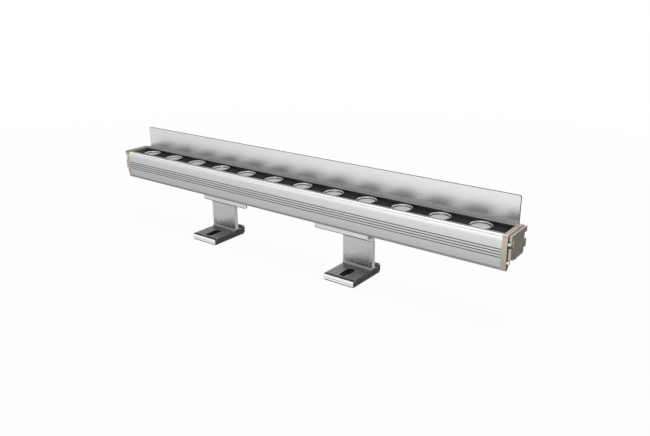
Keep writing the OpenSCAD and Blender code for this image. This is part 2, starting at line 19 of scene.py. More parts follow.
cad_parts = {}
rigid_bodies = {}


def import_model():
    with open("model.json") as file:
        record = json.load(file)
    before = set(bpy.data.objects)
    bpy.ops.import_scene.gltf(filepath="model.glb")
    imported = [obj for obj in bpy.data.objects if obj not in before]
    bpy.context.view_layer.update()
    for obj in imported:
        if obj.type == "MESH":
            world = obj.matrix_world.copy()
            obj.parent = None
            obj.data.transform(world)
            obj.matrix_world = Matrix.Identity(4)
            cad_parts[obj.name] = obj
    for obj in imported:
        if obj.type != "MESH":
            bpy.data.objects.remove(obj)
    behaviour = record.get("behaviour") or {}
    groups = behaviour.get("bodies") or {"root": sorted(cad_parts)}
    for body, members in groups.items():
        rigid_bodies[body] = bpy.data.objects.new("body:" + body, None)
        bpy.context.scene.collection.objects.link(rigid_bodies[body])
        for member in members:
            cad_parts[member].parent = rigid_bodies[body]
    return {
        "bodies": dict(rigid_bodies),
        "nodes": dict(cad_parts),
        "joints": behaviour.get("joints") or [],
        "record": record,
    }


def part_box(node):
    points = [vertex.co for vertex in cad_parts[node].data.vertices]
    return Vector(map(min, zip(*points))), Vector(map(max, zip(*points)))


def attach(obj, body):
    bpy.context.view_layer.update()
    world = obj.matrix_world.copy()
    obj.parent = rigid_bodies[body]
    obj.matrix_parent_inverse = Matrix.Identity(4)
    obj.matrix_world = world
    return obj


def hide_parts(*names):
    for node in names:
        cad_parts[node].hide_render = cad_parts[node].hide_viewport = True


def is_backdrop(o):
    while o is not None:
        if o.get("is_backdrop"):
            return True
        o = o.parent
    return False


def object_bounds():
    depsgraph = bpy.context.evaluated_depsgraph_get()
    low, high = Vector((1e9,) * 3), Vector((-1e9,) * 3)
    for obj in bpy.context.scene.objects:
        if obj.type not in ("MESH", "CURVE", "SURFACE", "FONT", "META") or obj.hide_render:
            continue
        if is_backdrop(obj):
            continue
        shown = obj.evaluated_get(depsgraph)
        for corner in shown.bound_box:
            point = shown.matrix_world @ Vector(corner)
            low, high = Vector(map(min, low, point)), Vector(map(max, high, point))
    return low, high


MM = 0.001
NEAR = 0.1 * MM  # how far off a plane a face may lie and still count as on it
MARGIN = 0.05 * MM  # what a zone reaches past the form that it dresses
FACING = 0.9  # least share of a face's normal along the axis that it looks along
LEANING = 0.3  # the same for a face that leans that way
LONG_RUN = 200 * MM  # least length of an edge that runs along the whole light
STRAIGHT = 0.999  # least share of an edge's length along X, where it runs along the light
WELD = 0.002 * MM  # how close two vertices of a CAD mesh may lie and become one
FLAT_TURN = 0.4  # degrees between two faces of a CAD mesh that become one
ROW_DIGITS = 6  # decimals of a metre by which two rows of vertices are told apart

Piece: TypeAlias = bpy.types.Object
Tree: TypeAlias = bpy.types.NodeTree
Node: TypeAlias = bpy.types.Node
Socket: TypeAlias = bpy.types.NodeSocket
Material: TypeAlias = bpy.types.Material
Edge: TypeAlias = bmesh.types.BMEdge
EdgeRule: TypeAlias = Callable[[Edge], bool]
Rule: TypeAlias = Callable[[Vector, Vector], bool]
Outline: TypeAlias = list[tuple[float, float]]
Place: TypeAlias = tuple[float, float, float]
Steps: TypeAlias = tuple[float, ...]

log = logging.getLogger("wall_washer")


# Materials


def linear_rgb(hex_code: str) -> tuple[float, float, float, float]:
    """Turns an sRGB hex value into the linear colour that a shader takes.

    Args:
        hex_code: Six hex digits, with or without the sign in front.

    Returns:
        Red, green, blue and alpha, linear.
    """
    digits = hex_code.lstrip("#")
    channels = [int(digits[i : i + 2], 16) / 255 for i in (0, 2, 4)]
    linear = [c / 12.92 if c <= 0.04045 else ((c + 0.055) / 1.055) ** 2.4 for c in channels]
    return (linear[0], linear[1], linear[2], 1.0)


def add_node(tree: Tree, kind: str, values: dict[str | int, Any] | None = None) -> Node:
    """Adds one shader node and fills it.

    Args:
        tree: The material's or world's node tree.
        kind: Blender's type name of the node.
        values: Attribute names, input names or input numbers, each with its value or, for an
            input, with the socket that feeds it.

    Returns:
        The new node.
    """
    node = tree.nodes.new(kind)
    for key, value in (values or {}).items():
        if isinstance(value, Socket):
            tree.links.new(value, node.inputs[key])
        elif isinstance(key, str) and hasattr(node, key):
            setattr(node, key, value)
        else:
            node.inputs[key].default_value = value
    return node


def maths(tree: Tree, operation: str, *values: Any) -> Socket:
    """Adds a Math node over numbers and sockets and returns its result."""
    settings = {"operation": operation, **dict(enumerate(values))}
    return add_node(tree, "ShaderNodeMath", settings).outputs[0]


def blend(tree: Tree, share: Any, low: Any, high: Any) -> Socket:
    """Mixes two values, each a number or a socket, by a share and returns the result."""
    settings = {"data_type": "FLOAT", 0: share, 2: low, 3: high}
    return add_node(tree, "ShaderNodeMix", settings).outputs[0]


def blend_colour(tree: Tree, share: Socket, low: Any, high: Any) -> Socket:
    """Mixes two colours by a share and returns the result."""
    settings = {"data_type": "RGBA", 0: share, 6: low, 7: high}
    return add_node(tree, "ShaderNodeMix", settings).outputs[2]


def ramp(tree: Tree, value: Socket, steps: Sequence[float], kind: str = "SMOOTHSTEP") -> Socket:
    """Turns a value into another range.

    Args:
        tree: The tree to add to.
        value: What is turned.
        steps: Where it starts and ends, and the two results.
        kind: How it goes from one result to the other.

    Returns:
        The result.
    """
    names = ("From Min", "From Max", "To Min", "To Max")
    settings = {"interpolation_type": kind, "Value": value, **dict(zip(names, steps))}
    return add_node(tree, "ShaderNodeMapRange", settings).outputs["Result"]


@dataclass(frozen=True)
class Finish:
    """What every finish has: a name, two shades, the shader's plain numbers and a grain.

    The grain is a noise of the given cell size. It moves the colour between the two shades and
    the roughness between its two ends, and raises the surface by the given depth.
    """

    name: str
    shade: str
    second_shade: str
    metallic: float
    roughness: float
    rougher: float
    ior: float = 1.5
    slot: str = ""
    gloss: float = 0.5
    transmission: float = 0.0
    grain: float = 0.5 * MM
    grain_depth: float = 0.01 * MM
    grain_strength: float = 1.0
    detail: float = 2.0
    octave_share: float = 0.55
    noise_range: tuple[float, float] = (0.3, 0.7)

    def start(self) -> tuple[Material, Tree, Node, Node]:
        """Starts the material.

        Returns:
            The material, its tree, its shader and its Texture Coordinate node.
        """
        material = bpy.data.materials.new(self.name)
        material.use_nodes = True
        tree = material.node_tree
        tree.nodes.clear()
        numbers = {
            "Metallic": self.metallic,
            "IOR": self.ior,
            "Specular IOR Level": self.gloss,
            "Transmission Weight": self.transmission,
        }
        shader = add_node(tree, "ShaderNodeBsdfPrincipled", numbers)
        add_node(tree, "ShaderNodeOutputMaterial", {"Surface": shader.outputs["BSDF"]})
        place = add_node(tree, "ShaderNodeTexCoord")
        return material, tree, shader, place

    def cell(self) -> Vector:
        """Size of the grain's cells along X, Y and Z in metres."""
        return Vector((1, 1, 1)) * self.grain

    def pattern(self, tree: Tree, place: Node, cell: Vector, detail: float) -> Socket:
        """Adds a noise whose cells have the given size.

        Args:
            tree: The material's tree.
            place: The Texture Coordinate node.
            cell: Cell size along X, Y and Z in metres.
            detail: Octaves of finer noise on top.

        Returns:
            The noise's value.
        """
        scale = tuple(1.0 / size for size in cell)
        mapping = add_node(
            tree, "ShaderNodeMapping", {"Scale": scale, "Vector": place.outputs["Object"]}
        )
        settings = {"Scale": 1.0, "Detail": detail, "Roughness": self.octave_share}
        settings["Vector"] = mapping.outputs["Vector"]
        return add_node(tree, "ShaderNodeTexNoise", settings).outputs["Fac"]

    def vary(self, tree: Tree, shader: Node, noise: Socket) -> Socket:
        """Lets a noise move the colour between the shades and the roughness between its ends.

        Args:
            tree: The material's tree.
            shader: The material's shader.
            noise: The value that drives both.

        Returns:
            The colour, for a finish that lays more over it.
        """
        shades = (linear_rgb(self.shade), linear_rgb(self.second_shade))
        colour = blend_colour(tree, noise, *shades)
        steps = (*self.noise_range, self.roughness, self.rougher)
        tree.links.new(colour, shader.inputs["Base Color"])
        tree.links.new(ramp(tree, noise, steps, "LINEAR"), shader.inputs["Roughness"])
        return colour

    def emboss(self, tree: Tree, shader: Node, height: Socket) -> None:
        """Raises the surface by a pattern.

        Args:
            tree: The material's tree.
            shader: The material's shader.
            height: The pattern.
        """
        settings = {"Strength": self.grain_strength, "Distance": self.grain_depth}
        bump = add_node(tree, "ShaderNodeBump", {**settings, "Height": height})
        tree.links.new(bump.outputs["Normal"], shader.inputs["Normal"])

    def make(self) -> Material:
        """Makes the material with its grain in colour, roughness and surface."""
        material, tree, shader, place = self.start()
        noise = self.pattern(tree, place, self.cell(), self.detail)
        self.vary(tree, shader, noise)
        self.emboss(tree, shader, noise)
        return material


@dataclass(frozen=True)
class AnodisedExtrusion(Finish):
    """Aluminium 6063, extruded, etched and clear anodised.

    To the eye: a bright satin grey metal whose die lines run along its length, so that
    reflections are soft and drawn out across the lines.
    """

    run: float = 180 * MM
    grain: float = 0.6 * MM
    grain_depth: float = 0.0006 * MM
    detail: float = 3.0

    def cell(self) -> Vector:
        """Size of a die line: long along X and fine across it."""
        return Vector((self.run, self.grain, self.grain))


@dataclass(frozen=True)
class TumbledAluminium(Finish):
    """Extruded aluminium, sawn to length, tumbled and left with a thin clear anodised film.

    To the eye: greyer than the housing, with a gritty sparkle of small dents, and darker towards
    its plate, where painted shade stands in for the shade in the corner. The dents are drawn
    about twice as coarse as real, so that they show.
    """

    grain: float = 1.1 * MM
    grain_depth: float = 0.03 * MM
    detail: float = 4.0
    grit_range: tuple[float, float] = (0.34, 0.66)
    dull_shade: str = "4E4F51"
    dull_foot: float = 9 * MM
    dull_top: float = 21 * MM
    dull_share: float = 0.8
    dent_share: float = 0.6

    def make(self) -> Material:
        """Makes the material with grit dents, and painted shade that darkens it from dull_top down
        to dull_foot.
        """
        material, tree, shader, place = self.start()
        grit = self.pattern(tree, place, self.cell(), self.detail)
        speck = ramp(tree, grit, (*self.grit_range, 0.0, 1.0), "LINEAR")
        bright = self.vary(tree, shader, speck)
        # Painted shade: the colour darkens towards the plate, as if shade fell in the corner.
        height = add_node(tree, "ShaderNodeSeparateXYZ", {"Vector": place.outputs["Object"]})
        fall = (self.dull_top, self.dull_foot, 0.0, self.dull_share)
        depth = ramp(tree, height.outputs["Z"], fall)
        dents = maths(tree, "MULTIPLY_ADD", speck, -self.dent_share, 1.0)
        share = maths(tree, "MULTIPLY", depth, dents)
        colour = blend_colour(tree, share, bright, linear_rgb(self.dull_shade))
        tree.links.new(colour, shader.inputs["Base Color"])
        self.emboss(tree, shader, grit)
        return material


@dataclass(frozen=True)
class PaintedShadingAluminium(Finish):
    """Aluminium drawn darker with painted shade, or lighter with painted light and painted
    highlights, on grooves, hollows, edges and ends.

    To the eye: lighter or darker than the drawn face beside it, with short tool marks.
    """

    grain: float = 0.8 * MM
    grain_depth: float = 0.003 * MM


@dataclass(frozen=True)
class ChampagnePaint(Finish):
    """Die-cast aluminium with a champagne metallic powder coat.

    To the eye: warm beige grey with a slight metal flake and the orange peel of baked powder.
    """

    flake: float = 0.25 * MM
    grain: float = 1.1 * MM
    grain_depth: float = 0.02 * MM
    detail: float = 1.0

    def make(self) -> Material:
        """Makes the material with flake in its colour and orange peel in its surface."""
        material, tree, shader, place = self.start()
        self.vary(tree, shader, self.pattern(tree, place, Vector((1, 1, 1)) * self.flake, 0.0))
        self.emboss(tree, shader, self.pattern(tree, place, self.cell(), self.detail))
        return material


@dataclass(frozen=True)
class ClearOptic(Finish):
    """Acrylic, moulded in a polished tool, with a finely textured face.

    To the eye: clear at its rim, milky grey over the reflector, with sharp small highlights and
    a weak pillow texture that breaks up what shows through.
    """

    grain_depth: float = 0.05 * MM
    grain_strength: float = 0.6
    detail: float = 1.0


@dataclass(frozen=True)
class Moulded(Finish):
    """A moulded plastic or rubber, with the spark-eroded grain of its tool.

    To the eye: an even, slightly soft sheen without any direction.
    """

    grain: float = 0.6 * MM
    grain_depth: float = 0.015 * MM
    detail: float = 3.0


@dataclass(frozen=True)
class TurnedMetal(Finish):
    """Cold-headed and rolled screw metal.

    To the eye: small bright or black heads with a fine drawn grain.
    """

    grain: float = 0.3 * MM
    grain_depth: float = 0.004 * MM


FINISHES: tuple[Finish, ...] = (
    AnodisedExtrusion("anodised_aluminium_extruded", "E8E9EA", "EEEFF0", 1.0, 0.23, 0.26,
                      slot="anodised_housing"),
    # Painted shade: the ledge in front of the glare shield, drawn darker than the housing.
    AnodisedExtrusion("anodised_aluminium_ledge", "A6A7A9", "B0B1B3", 1.0, 0.26, 0.30,
                      slot="ledge_shade"),
    # Painted shade: the front lip drawn darker than the housing.
    AnodisedExtrusion("anodised_aluminium_lip", "BFC0C2", "C6C7C9", 1.0, 0.26, 0.30,
                      slot="lip_shade"),
    AnodisedExtrusion("anodised_aluminium_sheet", "F8F9F9", "FCFCFC", 1.0, 0.30, 0.33,
                      slot="shield_sheet", grain=0.9 * MM),
    AnodisedExtrusion("anodised_aluminium_clip", "F4F5F5", "F9F9F9", 1.0, 0.26, 0.32,
                      slot="clip_aluminium"),
    TumbledAluminium("tumbled_aluminium", "CDCED0", "E4E5E6", 1.0, 0.32, 0.42,
                     slot="foot_aluminium"),
    # Painted shade: the top of a foot's plate drawn darker, with a coarser grit.
    TumbledAluminium("tumbled_aluminium_worn", "848587", "CBCCCE", 1.0, 0.34, 0.50,
                     slot="plate_top", grain=1.3 * MM, grain_depth=0.04 * MM, dull_share=0.0),
    # Painted shade on the glare shield's edges and ends.
    PaintedShadingAluminium("sheared_sheet_edge", "3C3D3E", "4A4B4C", 1.0, 0.40, 0.50, slot="sheared_edge"),
    # Painted shade in the housing's grooves.
    PaintedShadingAluminium("groove_of_drawn_profile", "8E8F91", "A2A3A5", 1.0, 0.42, 0.55,
                 slot="groove_shade", grain=1.5 * MM),
    PaintedShadingAluminium("shaded_foot_of_profile", "9A9B9D", "AAABAD", 1.0, 0.34, 0.42,
                 slot="nose_shade", grain=1.5 * MM),
    # Painted highlight: a near-white, mostly diffuse finish on edges, ends and front faces.
    PaintedShadingAluminium("milled_aluminium_edge", "FAFAFA", "FDFDFD", 0.15, 0.20, 0.28,
                 slot="milled_edge"),
    # Painted shade on the plate's ends, the toe's roundings, the front of the plate's top and the
    # clips' chamfers.
    PaintedShadingAluminium("sawn_aluminium_end", "4C4D4F", "606163", 1.0, 0.42, 0.55, slot="sawn_end"),
    # Painted light: a lighter grey on the web's ends and in the toe's rib groove.
    PaintedShadingAluminium("sawn_aluminium_web", "C9CACC", "D8D9DA", 0.4, 0.50, 0.62, slot="web_end"),
    # Painted shade in the inner corner between a foot's plate and web.
    PaintedShadingAluminium("drawn_inner_corner", "B4B5B7", "C6C7C8", 1.0, 0.45, 0.55, slot="corner_fillet"),
    # Painted shade: near black in slots, hollows and the ends of grooves.
    PaintedShadingAluminium("punched_slot_wall", "161617", "262627", 0.6, 0.50, 0.65, slot="slot_wall"),
    ChampagnePaint("champagne_powder_coat", "C5BAAC", "D3C8BA", 0.85, 0.34, 0.42,
                   slot="cap_paint"),
    # Painted shade: the cap's outer face drawn darker than the rest of the cap.
    ChampagnePaint("champagne_powder_coat_face", "7D766D", "8C847A", 0.85, 0.34, 0.42,
                   slot="cap_face"),
    # Painted shade: near black in the cap's gap and notches.
    ChampagnePaint("thin_coat_in_the_gap", "121010", "1C1917", 0.3, 0.50, 0.62, slot="cap_gap"),
    Moulded("black_anodised_strip", "0F0F10", "171718", 0.0, 0.50, 0.62, slot="black_panel",
            gloss=0.15),
    ClearOptic("clear_acrylic_optic", "1E2021", "2A2C2D", 0.0, 0.04, 0.08, ior=1.49,
               slot="lens_clear", transmission=0.35, grain=6 * MM),
    ClearOptic("textured_acrylic_face", "E2E4E5", "F0F1F2", 0.85, 0.28, 0.40, ior=1.49,
               slot="lens_face", transmission=0.15, grain=2.2 * MM),
    # Painted highlight: a whitish finish on the inner edge of each lens rim.
    ClearOptic("light_gathering_edge", "DFE1E2", "ECEDEE", 0.45, 0.12, 0.2, ior=1.49,
               slot="lens_edge", transmission=0.1, grain=4 * MM),
    Moulded("black_polycarbonate_holder", "1F1F21", "2A2A2C", 0.0, 0.40, 0.52, ior=1.58,
            slot="holder_black"),
    Moulded("white_solder_mask", "E6E8E6", "EFF0EE", 0.0, 0.30, 0.42, slot="white_board",
            grain=0.4 * MM, grain_depth=0.004 * MM),
    Moulded("phosphor_silicone", "E2C95A", "EAD470", 0.0, 0.35, 0.45, ior=1.41, slot="phosphor"),
    Moulded("black_epoxy_package", "222224", "2C2C2E", 0.0, 0.45, 0.60, slot="chip_black"),
    Moulded("ivory_nylon", "E3DCC4", "EBE5D0", 0.0, 0.38, 0.50, ior=1.53, slot="terminal_ivory"),
    Moulded("grey_thermal_pad", "8C9194", "9CA1A4", 0.0, 0.70, 0.85, slot="pad"),
    Moulded("black_potting_resin", "121213", "19191A", 0.0, 0.12, 0.20, slot="resin",
            grain=4 * MM, grain_depth=0.03 * MM),
    Moulded("silicone_rubber", "2B2B2C", "363637", 0.0, 0.62, 0.75, ior=1.43, slot="seal_rubber"),
    Moulded("black_nylon", "19191A", "232324", 0.0, 0.42, 0.55, ior=1.53, slot="gland_black"),
    TurnedMetal("stainless_steel", "F0EEEB", "F6F5F3", 1.0, 0.22, 0.30, slot="stainless_screw"),
    TurnedMetal("black_oxide_steel", "2C2C2F", "3A3A3D", 1.0, 0.34, 0.45, slot="black_screw"),
)


# Modelling by operators


def select_only(piece: Piece) -> None:
    """Deselects everything, then selects one piece and makes it active."""
    bpy.ops.object.select_all(action="DESELECT")
    piece.select_set(True)
    bpy.context.view_layer.objects.active = piece


def edit(piece: Piece) -> bmesh.types.BMesh:
    """Enters edit mode on one piece and returns its mesh for choosing edges and faces."""
    select_only(piece)
    bpy.ops.object.mode_set(mode="EDIT")
    return bmesh.from_edit_mesh(piece.data)


def leave_edit() -> None:
    """Goes back to object mode."""
    bpy.ops.object.mode_set(mode="OBJECT")


def apply_place(piece: Piece) -> None:
    """Puts the object's place, turn and scale into its mesh."""
    select_only(piece)
    bpy.ops.object.transform_apply(location=True, rotation=True, scale=True)


def smooth(piece: Piece, degrees: float = 35.0) -> None:
    """Shades a piece smooth up to an angle and keeps its large faces flat to their edges."""
    select_only(piece)
    bpy.ops.object.shade_smooth_by_angle(angle=math.radians(degrees), keep_sharp_edges=False)
    weights = piece.modifiers.new("weights", "WEIGHTED_NORMAL")
    weights.keep_sharp = True
    weights.weight = 100
    bpy.ops.object.modifier_apply(modifier=weights.name)


class Part(Enum):
    """What a selection picks."""

    VERTS = "VERT"
    EDGES = "EDGE"
    FACES = "FACE"


def select_parts(piece: Piece, part: Part, wanted: Callable[[Any], bool]) -> None:
    """Enters edit mode with only the vertices, edges or faces selected that a rule picks.

    Args:
        piece: The piece.
        part: What is picked.
        wanted: Says which.
    """
    mesh = edit(piece)
    bpy.ops.mesh.select_mode(type=part.value)
    bpy.ops.mesh.select_all(action="DESELECT")
    picked = [item for item in getattr(mesh, part.name.lower()) if wanted(item)]
    for item in picked:
        item.select_set(True)
    mesh.select_flush_mode()
    bmesh.update_edit_mesh(piece.data)


@dataclass(frozen=True)
class Rounding:
    """A broken edge: its width, the least degrees that count as sharp, its steps and shape."""

    width: float
    least_angle: float = 30.0
    steps: int = 2
    profile: float = 0.5


def round_edges(piece: Piece, rounding: Rounding, wanted: EdgeRule) -> None:
    """Bevels the sharp edges that a rule picks.

    Args:
        piece: The piece.
        rounding: How they are rounded.
        wanted: Says which edges are rounded.
    """
    limit = math.radians(rounding.least_angle)

    def sharp(edge: Edge) -> bool:
        """Says whether an edge is sharp enough and wanted."""
        return len(edge.link_faces) == 2 and edge.calc_face_angle(0.0) > limit and wanted(edge)

    select_parts(piece, Part.EDGES, sharp)
    bpy.ops.mesh.bevel(
        offset=rounding.width, offset_type="OFFSET", segments=rounding.steps,
        profile=rounding.profile, affect="EDGES", clamp_overlap=True,
    )
    leave_edit()


def split_at(piece: Piece, axis: int, place: float) -> None:
    """Cuts a line round a piece, so that a finish or a form can end there.

    Args:
        piece: The piece.
        axis: Which axis the cut is square to, 0 for X, 1 for Y and 2 for Z.
        place: Where on that axis it lies.
    """
    edit(piece)
    bpy.ops.mesh.select_all(action="SELECT")
    way = Vector((0, 0, 0))
    way[axis] = 1.0
    bpy.ops.mesh.bisect(plane_co=way * place, plane_no=way)
    leave_edit()


def along_x(edge: Edge, least: float) -> bool:
    """Says whether an edge runs along the light and is longer than the given length."""
    run = edge.verts[1].co - edge.verts[0].co
    return run.length > least and abs(run.x) > STRAIGHT * run.length


def longer_than(least: float) -> EdgeRule:
    """Makes a rule that picks edges longer than a length."""
    return lambda edge: edge.calc_length() > least


class Axis(Enum):
    """Which way the axis of a turned piece points."""

    UP = (0.0, 0.0, 1.0)
    RIGHT = (1.0, 0.0, 0.0)
    LEFT = (-1.0, 0.0, 0.0)
    REAR = (0.0, 1.0, 0.0)

    def turn(self) -> Matrix:
        """The turn that brings +Z to this axis."""
        return Vector((0, 0, 1)).rotation_difference(Vector(self.value)).to_matrix().to_4x4()


@dataclass(frozen=True)
class Turned:
    """A turned piece: a disc of vertices that is drawn up and resized step by step."""

    steps: Sequence[tuple[float, float]]
    sides: int

    def build(self, name: str) -> Piece:
        """Builds the closed piece about +Z at the origin.

        Args:
            name: The piece's name.

        Returns:
            The piece, with its lowest step first and both ends closed.
        """
        bpy.ops.object.select_all(action="DESELECT")
        radius, height = self.steps[0]
        bpy.ops.mesh.primitive_circle_add(
            vertices=self.sides, radius=radius, fill_type="NGON", location=(0, 0, height)
        )
        piece = bpy.context.active_object
        piece.name = piece.data.name = name
        apply_place(piece)
        bpy.ops.object.mode_set(mode="EDIT")
        bpy.ops.mesh.select_all(action="SELECT")
        for next_radius, next_height in self.steps[1:]:
            bpy.ops.mesh.extrude_region_move(
                TRANSFORM_OT_translate={"value": (0, 0, next_height - height)}
            )
            if next_radius > 0:
                ratio = next_radius / radius
                bpy.ops.transform.resize(
                    value=(ratio, ratio, 1), center_override=(0, 0, next_height)
                )
                radius = next_radius
            else:
                bpy.ops.mesh.merge(type="CENTER")
            height = next_height
        bpy.ops.mesh.select_all(action="SELECT")
        bpy.ops.mesh.normals_make_consistent(inside=False)
        leave_edit()
        return piece


def arc(
    middle: tuple[float, float], radius: float, start: float, end: float, count: int
) -> Outline:
    """Steps along an arc in a half section.

    Args:
        middle: The arc's centre, as distance from the axis and height.
        radius: The arc's radius.
        start: Where it begins, in degrees from straight outwards.
        end: Where it ends.
        count: How many steps it is drawn with.

    Returns:
        The points, start and end among them.
    """
    points = []
    for i in range(count + 1):
        angle = math.radians(start + (end - start) * i / count)
        points.append((middle[0] + radius * math.cos(angle), middle[1] + radius * math.sin(angle)))
    return points


def placed_copy(model: Piece, name: str, place: Vector, axis: Axis = Axis.UP) -> Piece:
    """Copies a model to a place, with a mesh of its own.

    Args:
        model: The piece to repeat.
        name: The copy's name.
        place: Where the model's origin goes.
        axis: Where its +Z points.

    Returns:
        The copy, at the origin with its place in its mesh.
    """
    piece = model.copy()
    piece.data = model.data.copy()
    piece.name = piece.data.name = name
    bpy.context.scene.collection.objects.link(piece)
    piece.matrix_world = Matrix.Translation(place) @ axis.turn()
    apply_place(piece)
    return piece


def joined(pieces: Sequence[Piece], name: str) -> Piece:
    """Joins pieces into one and names it."""
    bpy.ops.object.select_all(action="DESELECT")
    for piece in pieces:
        piece.select_set(True)
    bpy.context.view_layer.objects.active = pieces[0]
    bpy.ops.object.join()
    pieces[0].name = pieces[0].data.name = name
    return pieces[0]


def cut_away(piece: Piece, cutter: Piece) -> None:
    """Cuts one piece with another by a Boolean modifier, applies it and removes the cutter."""
    select_only(piece)
    modifier = piece.modifiers.new("cut", "BOOLEAN")
    modifier.operation = "DIFFERENCE"
    modifier.solver = "EXACT"
    modifier.object = cutter
    bpy.ops.object.modifier_apply(modifier=modifier.name)
    bpy.data.objects.remove(cutter)


@dataclass(frozen=True)
class CrossScrew:
    """A screw with a cross recess, its head's seat at the origin and its head along +Z.

    The rim holds the points of its head's outline, from the edge to the crown, each as its
    distance in from the head's radius and its height.
    """

    head_radius: float
    head_top: float
    head_foot: float
    rim: tuple[tuple[float, float], ...]
    shank_radius: float
    length: float
    tip: float
    recess_reach: float
    recess_depth: float
    recess_width: float = 0.55 * MM
    recess_taper: float = 0.35
    tip_share: float = 0.7
    sides: int = 40
    smooth_angle: float = 32.0

    def outline(self) -> Outline:
        """Its half section, from its tip to the top of its head."""
        return [
            (self.shank_radius * self.tip_share, -self.length),
            (self.shank_radius, -self.length + self.tip),
            (self.shank_radius, self.head_foot),
            *((self.head_radius - inset, height) for inset, height in self.rim),
            (0.0, self.head_top),
        ]

    def recess_blade(self, turn: float) -> Piece:
        """One tapered blade of the recess, as a cutter.

        Args:
            turn: Its turn about the axis in radians.

        Returns:
            The cutter.
        """
        bpy.ops.object.select_all(action="DESELECT")
        depth = 2 * self.recess_depth
        bpy.ops.mesh.primitive_cube_add(
            size=1.0, location=(0, 0, self.head_top), rotation=(0, 0, turn),
            scale=(2 * self.recess_reach, self.recess_width, depth),
        )
        blade = bpy.context.active_object
        apply_place(blade)
        select_parts(blade, Part.FACES, lambda face: face.normal.z < -FACING)
        bpy.ops.transform.resize(
            value=(self.recess_taper, self.recess_taper, 1),
            center_override=(0, 0, self.head_top - self.recess_depth),
        )
        leave_edit()
        return blade

    def build(self, name: str) -> Piece:
        """Builds the screw and cuts its recess.

        Args:
            name: The model's name.

        Returns:
            The screw.
        """
        screw = Turned(self.outline(), self.sides).build(name)
        for turn in (0.0, math.pi / 2):
            cut_away(screw, self.recess_blade(turn))
        smooth(screw, self.smooth_angle)
        return screw


# Sub-assemblies


@dataclass
class SubAssembly:
    """What the sub-assemblies share: the frame, the materials and how a piece is handed in."""

    frame: dict[str, Any]
    materials: dict[str, Material]

    def body_of(self, node: str) -> str:
        """The CAD body that a node belongs to."""
        groups = self.frame["record"]["behaviour"]["bodies"]
        return next(body for body, members in groups.items() if node in members)

    def zone(self, piece: Piece, *rules: tuple[str, Rule]) -> None:
        """Gives the faces that a rule picks another finish, such as a painted highlight on an
        edge.

        Args:
            piece: The piece, already handed in.
            rules: A finish's name among the materials, and the rule that picks its faces by
                their middle and normal. A later pair wins over an earlier one.
        """
        for finish, inside in rules:
            piece.data.materials.append(self.materials[finish])
            index = len(piece.data.materials) - 1
            picked = [face for face in piece.data.polygons if inside(face.center, face.normal)]
            for face in picked:
                face.material_index = index
            log.info("%s: %d faces in %s", piece.name, len(picked), finish)

    def copy_of(self, node: str, name: str) -> Piece:
        """Copies a CAD solid into a piece of its own and welds it into closed flat faces.

        Args:
            node: The CAD node.
            name: The new piece's name.

        Returns:
            The welded copy.
        """
        piece = bpy.data.objects.new(name, self.frame["nodes"][node].data.copy())
        piece.data.name = name
        bpy.context.scene.collection.objects.link(piece)
        edit(piece)
        bpy.ops.mesh.select_all(action="SELECT")
        bpy.ops.mesh.remove_doubles(threshold=WELD)
        bpy.ops.mesh.dissolve_limited(angle_limit=math.radians(FLAT_TURN))
        leave_edit()
        return piece

    def screw_row(
        self, model: Piece, name: str, node: str, places: Sequence[Vector], axis: Axis
    ) -> None:
        """Copies a screw to its places and hands the copies in as one piece.

        Args:
            model: The screw.
            name: The piece's name.
            node: The CAD node that it replaces.
            places: Where the seat of each head goes.
            axis: Where the heads point.
        """
        row = [placed_copy(model, f"{name}_{i}", place, axis) for i, place in enumerate(places)]
        self.hand_in(joined(row, name), node, "stainless_screw")

    def hand_in(self, piece: Piece, node: str, slot: str) -> None:
        """Dresses a piece and lets it ride and stand for its CAD node.

        Args:
            piece: The finished piece.
            node: The CAD node that it replaces.
            slot: The record's material slot.
        """
        piece.data.materials.clear()
        piece.data.materials.append(self.materials[slot])
        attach(piece, self.body_of(node))
        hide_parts(node)
        log.info("%s: %d faces for %s", piece.name, len(piece.data.polygons), node)


